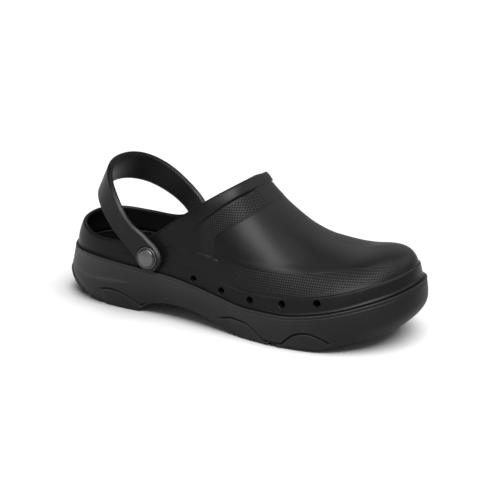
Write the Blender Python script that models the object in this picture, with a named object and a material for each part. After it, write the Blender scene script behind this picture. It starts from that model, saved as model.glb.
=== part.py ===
"""A moulded foam work clog for the right foot, with a heel strap held by two rivets.

+X points to the toe, +Y to the inner (medial) side and +Z up, and the origin is under the middle of the sole.
Sizes are in millimetres until a mesh is made. A station is a share of the length, from the heel to the toe.
"""

from collections import namedtuple

import bmesh
import bpy
import numpy as np
from mathutils import Matrix, Vector

MM = 0.001
LATERAL, MEDIAL = -1, 1
SIDES = (LATERAL, MEDIAL)
SIDE_NAMES = {LATERAL: "lateral", MEDIAL: "medial"}

# Driving dimensions
LENGTH = 288.0
BALL_LATERAL = 54.0        # half breadths at the ball
BALL_MEDIAL = 51.0
INSTEP_HEIGHT = 108.0      # top of the collar, over the instep
HEEL_HEIGHT = 57.0         # rim of the heel counter
WALL = 3.2                 # upper
GAP = 0.3                  # clearance between pieces

# The lip of the sole seen from above, as shares of the length and of the two half breadths
PlanRow = namedtuple("PlanRow", "station lateral medial")
PLAN = (
    PlanRow(0.012, 0.000, 0.000),
    PlanRow(0.047, 0.470, 0.488),
    PlanRow(0.132, 0.703, 0.716),
    PlanRow(0.295, 0.769, 0.755),
    PlanRow(0.451, 0.843, 0.751),
    PlanRow(0.608, 0.963, 0.888),
    PlanRow(0.736, 1.000, 1.000),
    PlanRow(0.851, 0.870, 0.935),
    PlanRow(0.938, 0.574, 0.700),
    PlanRow(0.987, 0.148, 0.290),
)

# Heights along the sole: its lip, its underside, and the floor of the tray in its top
SoleRow = namedtuple("SoleRow", "station lip bottom floor turn bulge")
SOLE = (
    SoleRow(0.000, 38.5, 5.0, 28.5, 4.6, 3.4),
    SoleRow(0.050, 38.4, 2.6, 28.0, 4.4, 3.2),
    SoleRow(0.115, 38.3, 0.0, 27.5, 4.0, 2.4),
    SoleRow(0.260, 35.5, 0.0, 27.0, 3.6, 1.2),
    SoleRow(0.285, 35.0, 5.2, 26.9, 3.6, 1.0),
    SoleRow(0.315, 34.6, 9.2, 26.8, 3.6, 0.9),
    SoleRow(0.375, 33.2, 11.6, 26.2, 3.6, 0.8),
    SoleRow(0.450, 30.3, 9.6, 24.4, 3.6, 0.8),
    SoleRow(0.520, 26.6, 4.6, 21.8, 3.6, 0.8),
    SoleRow(0.600, 23.2, 0.0, 19.8, 3.8, 0.8),
    SoleRow(0.690, 23.4, 0.0, 18.8, 4.0, 0.9),
    SoleRow(0.785, 27.3, 0.0, 19.4, 4.2, 1.1),
    SoleRow(0.840, 31.0, 4.0, 21.4, 4.4, 1.3),
    SoleRow(0.900, 36.0, 8.6, 24.0, 5.0, 1.5),
    SoleRow(0.950, 40.2, 12.4, 26.6, 5.6, 1.6),
    SoleRow(1.000, 45.4, 17.5, 29.0, 6.5, 1.6),
)

# Recessed panels along the foot of the sole's side: the height of their top edge, and their depth
PanelRow = namedtuple("PanelRow", "station height depth")
PANELS = (
    PanelRow(0.000, 20.5, 1.2),
    PanelRow(0.035, 20.0, 1.2),
    PanelRow(0.050, 15.5, 1.2),
    PanelRow(0.070, 9.4, 1.2),
    PanelRow(0.090, 5.6, 1.0),
    PanelRow(0.110, 4.0, 0.0),
    PanelRow(0.128, 12.6, 0.0),
    PanelRow(0.146, 13.8, 0.5),
    PanelRow(0.172, 15.6, 1.2),
    PanelRow(0.196, 14.4, 1.2),
    PanelRow(0.227, 12.0, 1.2),
    PanelRow(0.257, 8.0, 1.2),
    PanelRow(0.276, 5.4, 0.8),
    PanelRow(0.300, 9.0, 0.0),
    PanelRow(0.490, 9.0, 0.0),
    PanelRow(0.527, 12.2, 0.5),
    PanelRow(0.560, 14.4, 1.2),
    PanelRow(0.597, 13.4, 1.2),
    PanelRow(0.625, 9.2, 1.2),
    PanelRow(0.648, 4.5, 1.2),
    PanelRow(0.668, 2.4, 0.6),
    PanelRow(0.695, 2.4, 0.6),
    PanelRow(0.713, 6.9, 1.2),
    PanelRow(0.729, 11.1, 1.2),
    PanelRow(0.747, 13.5, 1.2),
    PanelRow(0.767, 14.3, 1.2),
    PanelRow(0.791, 12.9, 1.2),
    PanelRow(0.813, 10.0, 1.0),
    PanelRow(0.835, 6.6, 0.0),
    PanelRow(1.000, 22.0, 0.0),
)

# Ridge of the last over the foot. Behind the collar's top it only steers the lean of the quarters
SpineRow = namedtuple("SpineRow", "station height side fullness")
SPINE = (
    SpineRow(0.130, 1.66, 0.0, 2.3),
    SpineRow(0.300, 1.52, -0.5, 2.3),
    SpineRow(0.430, 1.33, 0.5, 2.25),
    SpineRow(0.510, 1.136, 1.1, 2.2),
    SpineRow(0.556, 1.00, 1.5, 2.2),
    SpineRow(0.577, 0.920, 2.0, 2.2),
    SpineRow(0.628, 0.785, 2.5, 2.2),
    SpineRow(0.684, 0.679, 3.2, 2.2),
    SpineRow(0.740, 0.617, 4.0, 2.25),
    SpineRow(0.819, 0.578, 5.0, 2.3),
    SpineRow(0.896, 0.606, 6.0, 2.3),
    SpineRow(1.000, 0.606, 6.0, 2.3),   # past the toe's pole, so the ridge ends level
)
APEX = 0.556               # where the collar crosses the ridge
HEEL_FAN = (0.31, 0.14)    # behind the first station, columns lean to a pole at the second
TOE_FAN = (0.69, 0.896)

# The counter leans in at the back of the heel, per unit of height
LeanRow = namedtuple("LeanRow", "station lean")
LEAN = (
    LeanRow(0.00, 0.36),
    LeanRow(0.04, 0.30),
    LeanRow(0.12, 0.12),
    LeanRow(0.25, 0.04),
    LeanRow(0.35, 0.00),
    LeanRow(1.00, 0.00),
)

# Collar: a plane that rises to the instep, and a low rim round the heel
COLLAR_SLOPE = 0.647
RimRow = namedtuple("RimRow", "station share")
RIM = (
    RimRow(0.00, 1.020),
    RimRow(0.06, 1.000),
    RimRow(0.16, 0.970),
    RimRow(0.27, 0.950),
    RimRow(1.00, 0.950),
)
RIM_BLEND = 5.0
COLLAR_BAND = 9.5          # width of the raised band round the collar
COLLAR_STEP = 1.2
COLLAR_FADE = (0.32, 0.40) # stations over which the band's step rises out of the quarter
RIM_ROUND = 1.1

# Smooth vent band along the foot of the upper, above the lip, and the inset of that foot from the lip
BandRow = namedtuple("BandRow", "station width step flare inset")
BAND = (
    BandRow(0.00, 6.0, 0.0, 0.0, 1.6),
    BandRow(0.10, 6.0, 0.0, 0.0, 2.2),
    BandRow(0.17, 5.0, 0.0, 0.0, 2.6),
    BandRow(0.22, 8.0, 0.4, 0.2, 3.0),
    BandRow(0.37, 10.2, 0.5, 1.0, 3.4),
    BandRow(0.46, 10.0, 0.5, 1.2, 3.4),
    BandRow(0.64, 11.6, 0.6, 1.2, 3.4),
    BandRow(0.75, 13.2, 0.7, 1.2, 3.4),
    BandRow(0.86, 12.8, 0.8, 1.2, 3.4),
    BandRow(0.95, 11.0, 0.5, 1.5, 3.4),
    BandRow(1.00, 9.4, 0.3, 1.7, 3.4),
)
STEP_RUN = 0.6             # half of the slope of a step in the wall
FLARE_POWER = 1.2
BASE_RISE = 0.5            # foot of the upper over the lip

VentRow = namedtuple("VentRow", "station height")
VENTS = (
    VentRow(0.4385, 35.3),
    VentRow(0.5226, 31.6),
    VentRow(0.6076, 29.8),
    VentRow(0.6980, 31.8),
    VentRow(0.7889, 36.0),
)
VENT_RADIUS = 2.3
VENT_REACH = 8.0

# Side and top of the sole, and the insole
TURN_SHARE = 0.55          # share of the side's height in which it turns in to the tread
TREAD_EDGE = 0.9
PANEL_OVER = 2.4           # least height of a panel's top edge over the tread, and under the lip
PANEL_UNDER = 4.0
LIP_DROP = 0.8
BeadRow = namedtuple("BeadRow", "inset rise")
SEAT_RISE = BASE_RISE - GAP
TRAY_INSET = 6.9
LIP_BEAD = (
    BeadRow(0.35, 0.3),
    BeadRow(1.0, 0.6),
    BeadRow(1.4, SEAT_RISE),
    BeadRow(TRAY_INSET, SEAT_RISE),
)
INSOLE_INSET = TRAY_INSET + 0.35
INSOLE_THICK = 4.0
INSOLE_EDGE = 0.8
CUP = 3.0                  # rise of the footbed at its edge
CUP_POWER = 3

# Tread grooves, as stations and half breadths
GrooveRow = namedtuple("GrooveRow", "station width reach lean")
GROOVES = (
    GrooveRow(0.150, 5.0, 22, 0),
    GrooveRow(0.195, 5.0, 24, 0),
    GrooveRow(0.238, 5.0, 24, 0),
    GrooveRow(0.625, 4.5, 33, 0.10),
    GrooveRow(0.679, 7.0, 80, 0.0),
    GrooveRow(0.728, 4.5, 36, 0.08),
    GrooveRow(0.765, 4.5, 35, 0.08),
)
GROOVE_DEPTH = 2.4

# Strap: distance from the rivets along its tilt, and the distance of each arm from the shoe's middle
RIVET_STATION = 0.311
RIVET_HEIGHT = 46.8
STRAP_TILT = np.radians(56)
StrapRow = namedtuple("StrapRow", "reach lateral medial")
STRAP = (
    StrapRow(-11.0, 43.4, 39.2),
    StrapRow(0.0, 42.9, 39.3),
    StrapRow(9.0, 42.6, 39.5),
    StrapRow(21.0, 44.2, 42.0),
    StrapRow(36.0, 45.6, 43.2),
    StrapRow(52.0, 38.6, 37.6),
    StrapRow(65.0, 24.5, 25.0),
)
STRAP_REACH = 70.0
STRAP_MIDDLE = -3.0        # side of the loop's end
STRAP_DROP = 16.0          # fall of the loop's end behind the tilt of the arms
STRAP_LEAN = np.radians(31)
STRAP_WIDEN = 7.5          # added width at the loop's end
EYE_RADIUS = 11.0
EYE_THICK = 5.2
STRAP_WIDTH = 16.0
STRAP_THICK = 3.4
STRAP_BEVEL = 1.0
EYE_BLEND = 2.0
EYE_TAPER = (6.0, 22.0)    # the eye thins to the band between these distances

# Rivets and their domed inserts
SHANK_RADIUS = 3.0
BUTTON_RADIUS = 8.4
BUTTON_HEIGHT = 1.9
POCKET_DEPTH = 0.8
COUNTERBORE = 1.5
BADGE_RADIUS = 7.0
BADGE_DOME = 1.2
WASHER_RADIUS = 6.5
WASHER_THICK = 1.6
WASHER_GAP = 0.7           # to the curved inner face of the quarter
WASHER_BEVEL = 1.5
BUTTON_BEVEL = 0.5

# Mesh density
COLUMNS = 45
PROFILE_SAMPLES = 240
OUTLINE_SAMPLES = 3000
WALL_ROWS = 5
FOOT_ROW = 1.5             # first row over the foot of the upper
FOLD_MOST = 0.4            # greatest share of a column under the vent band's crease
BAND_LEAST = 0.7           # least share of a column under the collar's band
TREAD_SPREADS = (0, 0.4, 0.75)
SIDE_SHARES = (0, 0.33, 0.66, 1)
BED_SPREADS = (1, 0.7, 0.35, 0)
DOME_SHARES = (0.35, 0.65, 0.88)
SHARP = np.radians(40)     # edges over this angle are shaded sharp
FRONT_BLEND = 0.14         # share of the outline over which rows spread out in front of the collar
ARCH_FROM = 0.30           # columns lean forwards or back between these stations
ARCH_FOOT = 0.603          # foot of the column that meets the collar's top
ARCH_TO = 0.82
STRAP_STEPS = 15
ROUND_STEPS = 20


def column(table, name, station):
    """Smooth curve through one column of a table that never passes beyond its rows."""
    x = np.array([row.station for row in table])
    y = np.array([getattr(row, name) for row in table], float)
    width = np.diff(x)
    slope = np.diff(y) / width
    bend = np.zeros_like(y)
    same = slope[:-1] * slope[1:] > 0
    both = np.where(same, slope[:-1] + slope[1:], 1.0)
    bend[1:-1] = np.where(same, 2 * slope[:-1] * slope[1:] / both, 0)
    bend[0], bend[-1] = slope[0], slope[-1]
    at = np.clip(station, x[0], x[-1])
    cell = np.clip(np.searchsorted(x, at, side="right") - 1, 0, len(width) - 1)
    h = width[cell]
    t = (at - x[cell]) / h
    start = (1 + 2 * t) * (1 - t) ** 2 * y[cell] + t * (1 - t) ** 2 * h * bend[cell]
    end = t * t * (3 - 2 * t) * y[cell + 1] - t * t * (1 - t) * h * bend[cell + 1]
    return start + end


def spline(knots, points, closed, at):
    """Cubic spline through points, natural at its ends or closed on itself, read at the places given."""
    points = np.asarray(points, float)
    n = len(points)
    h = np.diff(knots)
    system = np.eye(n)
    right = np.zeros_like(points)
    chord = np.diff(np.vstack([points, points[:1]]) if closed else points, axis=0) / h[:, None]
    for i in range(0 if closed else 1, n if closed else n - 1):
        after = (i + 1) % n
        system[i, i - 1] = h[i - 1]
        system[i, i] = 2 * (h[i - 1] + h[i])
        system[i, after] = h[i]
        right[i] = 6 * (chord[i] - chord[i - 1])
    moment = np.linalg.solve(system, right)
    cell = np.clip(np.searchsorted(knots, at, side="right") - 1, 0, len(h) - 1)
    after = (cell + 1) % n
    a = ((knots[cell + 1] - at) / h[cell])[:, None]
    b = 1 - a
    curve = (a**3 - a) * moment[cell] + (b**3 - b) * moment[after]
    return a * points[cell] + b * points[after] + curve * (h[cell] ** 2)[:, None] / 6


def chord_knots(points):
    """Distances along a row of points."""
    steps = np.linalg.norm(np.diff(np.asarray(points, float), axis=0), axis=1)
    return np.concatenate([[0], np.cumsum(steps)])


def smoothstep(value, low, high):
    t = np.clip((value - low) / (high - low), 0, 1)
    return t * t * (3 - 2 * t)


def outline_halves():
    """Both halves of the lip from heel to toe: points, inward normals and the share of their run."""
    lateral = [(row.station * LENGTH, -row.lateral * BALL_LATERAL) for row in PLAN]
    medial = [(row.station * LENGTH, row.medial * BALL_MEDIAL) for row in PLAN[:0:-1]]
    ring = lateral + medial
    knots = chord_knots(ring + ring[:1])
    points = spline(knots, ring, True, np.linspace(0, knots[-1], OUTLINE_SAMPLES, endpoint=False))
    tip = int(np.argmax(points[:, 0]))
    halves = {}
    for side in SIDES:
        half = points[: tip + 1] if side == LATERAL else np.vstack([points[:1], points[: tip - 1 : -1]])
        tangent = np.gradient(half, axis=0)
        tangent[0], tangent[-1] = (0, side), (0, -side)
        normal = np.stack([-tangent[:, 1], tangent[:, 0]], axis=1) * -side
        normal /= np.linalg.norm(normal, axis=1)[:, None]
        run = chord_knots(half)
        halves[side] = (run / run[-1], half, normal)
    return halves


OUTLINE = outline_halves()


def along(side, share, values):
    """One column of a half outline, read at shares of its run."""
    return np.interp(share, OUTLINE[side][0], values)


def lip_point(side, share, inset):
    """Plan point at a share of the half outline, moved in from the lip."""
    half = OUTLINE[side][1]
    point = np.stack([along(side, share, half[:, 0]), along(side, share, half[:, 1])], axis=-1)
    return point + np.asarray(inset)[..., None] * lip_inward(side, share)


def lip_inward(side, share):
    normal = OUTLINE[side][2]
    return np.stack([along(side, share, normal[:, 0]), along(side, share, normal[:, 1])], axis=-1)


def lip_station(side, share):
    return along(side, share, OUTLINE[side][1][:, 0]) / LENGTH


def share_at(side, station):
    """Share of the half outline at which it passes a station."""
    return np.interp(station * LENGTH, OUTLINE[side][1][:, 0], OUTLINE[side][0])


def ridge_station(share):
    """Station on the ridge that a column leans to: its own, drawn towards a pole at heel and toe."""
    own = (lip_station(LATERAL, share) + lip_station(MEDIAL, share)) / 2
    heel_from, heel_pole = HEEL_FAN
    toe_from, toe_pole = TOE_FAN
    behind = np.maximum(heel_from - own, 0) / heel_from
    ahead = np.maximum(own - toe_from, 0) / (1 - toe_from)
    return own + heel_pole * behind**2 - (1 - toe_pole) * ahead**2


def ridge_point(share):
    station = ridge_station(share)
    return np.stack([station * LENGTH, column(SPINE, "side", station)], axis=-1)


def collar_height(station):
    """Height of the collar's edge: the greater of the sloping plane and the heel's rim, blended."""
    plane = INSTEP_HEIGHT + COLLAR_SLOPE * (station - APEX) * LENGTH
    rim = HEEL_HEIGHT * column(RIM, "share", station)
    over = plane - rim
    return rim + (over + np.sqrt(over**2 + RIM_BLEND**2)) / 2


def below_collar(points):
    """Distance under the collar's edge, square to its plane."""
    return (collar_height(points[..., 0] / LENGTH) - points[..., 2]) / np.hypot(1, COLLAR_SLOPE)


def upper_sheet(side, share, angle):
    """Base surface of the upper: a superellipse from the foot of the wall up to the ridge of the last."""
    ridge = ridge_station(share)
    station = lip_station(side, share)
    foot = lip_point(side, share, column(BAND, "inset", station))
    low = column(SOLE, "lip", station) + BASE_RISE
    high = INSTEP_HEIGHT * column(SPINE, "height", ridge)
    power = column(SPINE, "fullness", ridge)
    spread = (np.cos(angle) ** power + np.sin(angle) ** power) ** (-1 / power)
    out = (np.cos(angle) * spread)[..., None]
    up = np.sin(angle) * spread
    rise = (high - low) * up
    centre = ridge_point(share)
    inward = lip_inward(side, share)
    plan = centre + (foot - centre) * out + inward * (column(LEAN, "lean", station) * rise)[..., None]
    return np.concatenate([plan, (low + rise)[..., None]], axis=-1)


EVEN = np.linspace(0, 1, COLUMNS)


def rim_angle(side, share):
    """Angle at which the base surface meets the collar or, in front of it, the ridge."""
    angle = np.linspace(0, np.pi / 2, PROFILE_SAMPLES)
    depth = below_collar(upper_sheet(side, share[None, :], angle[:, None] * np.ones_like(share)))
    return np.array([np.interp(0, -depth[:, i], angle) for i in range(len(share))])


def column_ends():
    """Shares at the foot and the top of the upper's columns, and the one at the collar's top.

    Columns lean so that their tops are even round the collar. Four end on its top and its band's front step.
    """
    dense = np.linspace(0, 1, OUTLINE_SAMPLES)
    ridge = ridge_station(dense)
    apex = np.interp(APEX, ridge, dense)
    arch = np.append(dense[(ridge > ARCH_FROM) & (dense < apex)], apex)
    arc = chord_knots(upper_sheet(LATERAL, arch, rim_angle(LATERAL, arch)))
    apex_foot, front = share_at(LATERAL, ARCH_FOOT), share_at(LATERAL, ARCH_TO)
    feet = np.concatenate([[0], arch[0] + (apex_foot - arch[0]) * arc / arc[-1], [front, 1]])
    tops = np.concatenate([[0], arch, [front, 1]])
    height = INSTEP_HEIGHT * column(SPINE, "height", ridge)
    depth = below_collar(np.stack([ridge * LENGTH, np.zeros_like(ridge), height], axis=1))
    levels = np.array([0.5 * COLLAR_BAND, COLLAR_BAND - STEP_RUN, COLLAR_BAND + STEP_RUN])
    ahead = dense >= apex
    marks = np.interp(np.append(apex, np.interp(levels, depth[ahead], dense[ahead])), tops, feet)
    clear = np.abs(EVEN[:, None] - marks).min(axis=1) > 0.4 / COLUMNS
    at = np.sort(np.append(EVEN[clear], marks))
    return at, np.interp(at, feet, tops), apex


FEET, TOPS, APEX_SHARE = column_ends()
IN_FRONT = TOPS > APEX_SHARE + 1e-9
RIM_ANGLE = {side: rim_angle(side, TOPS) for side in SIDES}


def leaning_share(way):
    """Share of the outline under a point at a part of the way up its column."""
    return FEET + (TOPS - FEET) * way**2


def leaning_sheet(side, way):
    return upper_sheet(side, leaning_share(way), way * RIM_ANGLE[side])


def wall_rows(side):
    """Parts of the way up each column at which the upper has a row. Rows follow the steps in its wall."""
    way = np.linspace(0, 1, PROFILE_SAMPLES)
    grid = leaning_sheet(side, way[:, None])
    run = np.zeros(grid.shape[:2])
    run[1:] = np.cumsum(np.linalg.norm(np.diff(grid, axis=0), axis=2), axis=0)
    depth = below_collar(grid)
    station = lip_station(side, FEET)
    crease = column(SOLE, "lip", station) + BASE_RISE + column(BAND, "width", station)
    rows = []
    for i in range(len(FEET)):
        top = run[-1, i]
        fold = min(np.interp(crease[i], grid[:, i, 2], run[:, i]), FOLD_MOST * top)
        foot = [0, FOOT_ROW, fold - STEP_RUN, fold + STEP_RUN]
        length = top - foot[-1]
        if depth[-1, i] < COLLAR_BAND:
            band = max(np.interp(-COLLAR_BAND, -depth[:, i], run[:, i]), BAND_LEAST * top)
            middle = np.linspace(foot[-1], band - STEP_RUN, WALL_ROWS + 2)[1:]
            marks = np.array([*middle, band + STEP_RUN, max(top - RIM_ROUND, band + 2 * STEP_RUN), top])
            pattern, band_end = (marks - foot[-1]) / length, FEET[i]
        else:
            even = np.linspace(0, 1, len(pattern) + 1)[1:]
            spread = smoothstep(FEET[i] - band_end, 0, FRONT_BLEND)
            marks = foot[-1] + length * (pattern * (1 - spread) + even * spread)
        rows.append(np.interp([*foot, *marks], run[:, i], way))
    return np.array(rows).T


def sheet_normals(sheets):
    """Outward normals of the two halves of the upper's sheet, shared along the ridge and at heel and toe."""
    normals = {}
    for side, grid in sheets.items():
        across = np.gradient(grid, axis=1)
        up = np.gradient(grid, axis=0)
        normal = np.cross(across, up) * -side
        length = np.linalg.norm(normal, axis=2)[..., None]
        normals[side] = normal / np.where(length > 0, length, 1)
    ridge = ridge_station(TOPS)
    tiny = 1e-4
    rise = column(SPINE, "height", ridge + tiny) - column(SPINE, "height", ridge - tiny)
    slope = INSTEP_HEIGHT * rise / (2 * tiny * LENGTH)
    top = np.stack([-slope, np.zeros_like(slope), np.ones_like(slope)], axis=1)
    top /= np.linalg.norm(top, axis=1)[:, None]
    on_ridge = TOPS > APEX_SHARE - 1e-9
    for side in SIDES:
        normals[side][-1, on_ridge] = top[on_ridge]
    for edge in (0, -1):
        mean = normals[LATERAL][:, edge] + normals[MEDIAL][:, edge]
        mean /= np.linalg.norm(mean, axis=1)[:, None]
        normals[LATERAL][:, edge] = normals[MEDIAL][:, edge] = mean
    return normals


def wall_relief(side, way, grid):
    """How far the outside of the upper stands off its base surface: collar band, vent band and flare."""
    station = lip_station(side, leaning_share(way))
    low = column(SOLE, "lip", station) + BASE_RISE
    width = column(BAND, "width", station)
    share = (grid[..., 2] - low) / width
    band = 1 - smoothstep(grid[..., 2] - low - width, -STEP_RUN, STEP_RUN)
    flare = np.clip(1 - share, 0, 1) ** FLARE_POWER
    depth = below_collar(grid)
    collar = 1 - smoothstep(depth - COLLAR_BAND, -STEP_RUN, STEP_RUN)
    fade = smoothstep(grid[..., 0] / LENGTH, *COLLAR_FADE)
    foot = column(BAND, "step", station) * band + column(BAND, "flare", station) * flare
    return foot + COLLAR_STEP * collar * fade


def surface_mesh(name, halves, skip=None):
    """One closed mesh from two grids of points, lateral and medial, that share their edges."""
    points, faces = [], []
    for side, grid in halves.items():
        rows, columns = grid.shape[:2]
        base = sum(len(part) for part in points)
        points.append(grid.reshape(-1, 3))
        for r in range(rows - 1):
            for c in range(columns - 1):
                if skip is not None and skip[r, c]:
                    continue
                a = base + r * columns + c
                quad = (a, a + 1, a + columns + 1, a + columns)
                faces.append(quad if side == LATERAL else quad[::-1])
    mesh = bpy.data.meshes.new(name)
    mesh.from_pydata(((np.vstack(points) - ORIGIN) * MM).tolist(), [], faces)
    shape = bmesh.new()
    shape.from_mesh(mesh)
    bmesh.ops.remove_doubles(shape, verts=shape.verts, dist=0.01 * MM)
    bmesh.ops.dissolve_degenerate(shape, edges=shape.edges, dist=0.005 * MM)
    bmesh.ops.triangulate(shape, faces=shape.faces, quad_method="SHORT_EDGE")
    bmesh.ops.recalc_face_normals(shape, faces=shape.faces)
    shape.to_mesh(mesh)
    shape.free()
    return mesh


def foam(name, colour, roughness):
    material = bpy.data.materials.new(name)
    material.use_nodes = True
    shader = material.node_tree.nodes["Principled BSDF"]
    shader.inputs["Base Color"].default_value = (*colour, 1)
    shader.inputs["Roughness"].default_value = roughness
    shader.inputs["Metallic"].default_value = 0
    return material


def add_piece(name, mesh, material):
    mesh.materials.append(material)
    mesh.shade_smooth()
    mesh.set_sharp_from_angle(angle=SHARP)
    piece = bpy.data.objects.new(name, mesh)
    bpy.context.scene.collection.objects.link(piece)
    return piece


def cut(piece, cutter_mesh, name):
    """Takes a hidden cutter out of a piece."""
    cutter = bpy.data.objects.new(name, cutter_mesh)
    bpy.context.scene.collection.objects.link(cutter)
    cutter.hide_render = True
    cutter.display_type = "WIRE"
    boolean = piece.modifiers.new(name, "BOOLEAN")
    boolean.operation = "DIFFERENCE"
    boolean.solver = "EXACT"
    boolean.object = cutter


def turn_to(axis, centre):
    """Matrix that lays local Z along an axis, from a centre in millimetres."""
    place = Matrix.Translation(Vector((np.asarray(centre) - ORIGIN) * MM))
    return place @ Vector(axis).to_track_quat("Z", "Y").to_matrix().to_4x4()


def add_cylinder(shape, axis, centre, radius, low, high):
    """Cylinder from low to high along an axis through the centre."""
    middle = np.asarray(centre) + np.asarray(axis) * (low + high) / 2
    bmesh.ops.create_cone(
        shape, cap_ends=True, segments=ROUND_STEPS, radius1=radius * MM, radius2=radius * MM,
        depth=(high - low) * MM, matrix=turn_to(axis, middle))


def mesh_of(name, shape):
    mesh = bpy.data.meshes.new(name)
    bmesh.ops.recalc_face_normals(shape, faces=shape.faces)
    shape.to_mesh(mesh)
    shape.free()
    return mesh


def turned_mesh(name, profile, axis, centre):
    """Solid of revolution of (radius, height) points about an axis."""
    shape = bmesh.new()
    verts = [shape.verts.new((radius * MM, 0, height * MM)) for radius, height in profile]
    edges = [shape.edges.new(pair) for pair in zip(verts, verts[1:])]
    bmesh.ops.spin(
        shape, geom=verts + edges, cent=(0, 0, 0), axis=(0, 0, 1), angle=2 * np.pi,
        steps=ROUND_STEPS, use_merge=True)
    bmesh.ops.remove_doubles(shape, verts=shape.verts, dist=0.01 * MM)
    bmesh.ops.transform(shape, matrix=turn_to(axis, centre), verts=shape.verts)
    return mesh_of(name, shape)


def fan(side, share, inset, spread):
    """Plan points from the ridge's line out to an inset of the lip, at shares of that way."""
    centre = ridge_point(share)
    return centre + (lip_point(side, share, inset) - centre) * spread


def at_height(plan, height):
    return np.concatenate([plan, np.broadcast_to(height, plan.shape[:1])[:, None]], axis=1)


def floor_height(plan, spread):
    """Cupped floor of the tray."""
    return column(SOLE, "floor", plan[:, 0] / LENGTH) + CUP * spread**CUP_POWER


def sole_grid(side):
    """Rows of the sole from the middle of its tread, out, up its side and back over its top."""
    station = lip_station(side, EVEN)
    lip = column(SOLE, "lip", station)
    bottom = column(SOLE, "bottom", station)
    turn = column(SOLE, "turn", station)
    bulge = column(SOLE, "bulge", station)
    depth = column(PANELS, "depth", station)
    panel = np.clip(column(PANELS, "height", station), bottom + PANEL_OVER, lip - PANEL_UNDER)

    def side_inset(height):
        share = (height - bottom) / (lip - bottom)
        turned = np.clip(1 - share / TURN_SHARE, 0, 1) ** 2
        return turn * turned - bulge * np.sin(np.pi * np.clip(share, 0, 1))

    rows = []
    for spread in TREAD_SPREADS:
        plan = fan(side, EVEN, turn + depth, spread)
        rows.append(at_height(plan, column(SOLE, "bottom", plan[:, 0] / LENGTH)))
    rows.append(at_height(lip_point(side, EVEN, turn + depth), bottom))
    for height in (bottom + TREAD_EDGE, (bottom + panel) / 2, panel - STEP_RUN):
        rows.append(at_height(lip_point(side, EVEN, side_inset(height) + depth), height))
    for rise in SIDE_SHARES:
        height = panel + STEP_RUN + rise * (lip - LIP_DROP - panel - STEP_RUN)
        rows.append(at_height(lip_point(side, EVEN, side_inset(height)), height))
    for bead in LIP_BEAD:
        rows.append(at_height(lip_point(side, EVEN, bead.inset), lip + bead.rise))
    for spread in BED_SPREADS:
        plan = fan(side, EVEN, TRAY_INSET, spread)
        rows.append(at_height(plan, floor_height(plan, spread)))
    return np.array(rows)


def make_sole(material):
    piece = add_piece("sole", surface_mesh("sole", {side: sole_grid(side) for side in SIDES}), material)
    shape = bmesh.new()
    for groove in GROOVES:
        middle = groove.station * LENGTH
        size = Matrix.Diagonal((groove.width * MM, 2 * groove.reach * MM, 2 * GROOVE_DEPTH * MM, 1))
        shear = Matrix.Identity(4)
        shear[0][1] = groove.lean
        place = Matrix.Translation(Vector((np.array([middle, 0, 0]) - ORIGIN) * MM))
        bmesh.ops.create_cube(shape, size=1, matrix=place @ shear @ size)
    cut(piece, mesh_of("tread_grooves", shape), "tread_grooves")


def make_insole(material):
    halves = {}
    shares = EVEN[::2]
    for side in SIDES:
        rows = []
        for spread in BED_SPREADS[::-1]:
            plan = fan(side, shares, INSOLE_INSET, spread)
            rows.append(at_height(plan, floor_height(plan, spread) + GAP))
        plan = fan(side, shares, INSOLE_INSET, 1)
        rows.append(at_height(plan, floor_height(plan, 1) + INSOLE_THICK - INSOLE_EDGE))
        for spread in BED_SPREADS:
            plan = fan(side, shares, INSOLE_INSET + (INSOLE_EDGE if spread == 1 else 0), spread)
            rows.append(at_height(plan, floor_height(plan, spread) + INSOLE_THICK))
        halves[side] = np.array(rows)
    add_piece("insole", surface_mesh("insole", halves), material)


def upper_grids():
    """Outside and inside rows of each half of the upper, from foot to collar, and its base sheet."""
    ways = {side: wall_rows(side) for side in SIDES}
    sheets = {side: leaning_sheet(side, ways[side]) for side in SIDES}
    normals = sheet_normals(sheets)
    outside, inside = {}, {}
    for side in SIDES:
        grid, normal = sheets[side], normals[side]
        relief = wall_relief(side, ways[side], grid)
        depth = np.full(grid.shape[:2], WALL)
        behind = ~IN_FRONT
        relief[-1, behind] -= RIM_ROUND
        depth[-1, behind] -= RIM_ROUND
        outside[side] = grid + normal * relief[..., None]
        inside[side] = grid - normal * depth[..., None]
        for rows in (outside[side], inside[side]):
            rows[0, :, 2] = grid[0, :, 2]
    return outside, inside


def make_upper(material):
    outside, inside = upper_grids()
    rows = outside[LATERAL].shape[0]
    kept = [rows - 1, rows - 2, rows - 4, rows - 6, rows - 8, 3, 1, 0]
    halves = {}
    for side in SIDES:
        halves[side] = np.concatenate([outside[side], inside[side][kept], outside[side][:1]])
    skip = np.zeros((rows + len(kept), len(FEET) - 1), bool)
    skip[rows - 1] = TOPS[:-1] > APEX_SHARE - 1e-9
    piece = add_piece("upper", surface_mesh("upper", halves, skip), material)
    shape = bmesh.new()
    for side in SIDES:
        for vent in VENTS:
            share = share_at(side, vent.station)
            centre = np.append(lip_point(side, share, column(BAND, "inset", vent.station)), vent.height)
            outward = np.append(-lip_inward(side, share), 0)
            add_cylinder(shape, outward, centre, VENT_RADIUS, -VENT_REACH, VENT_REACH)
    for side in SIDES:
        axis, centre = rivet_axis(side)
        add_cylinder(shape, axis, centre, SHANK_RADIUS + GAP, -2 * VENT_REACH, VENT_REACH)
    cut(piece, mesh_of("upper_holes", shape), "upper_holes")


def strap_path(at):
    """Middle line of the strap as (reach, side), from the lateral eye to the medial one, and its length."""
    lateral = [(row.reach, -row.lateral) for row in STRAP]
    medial = [(row.reach, row.medial) for row in STRAP[::-1]]
    points = [*lateral, (STRAP_REACH, STRAP_MIDDLE), *medial]
    knots = chord_knots(points)
    return spline(knots, points, False, np.clip(at, 0, 1) * knots[-1]), knots[-1]


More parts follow.
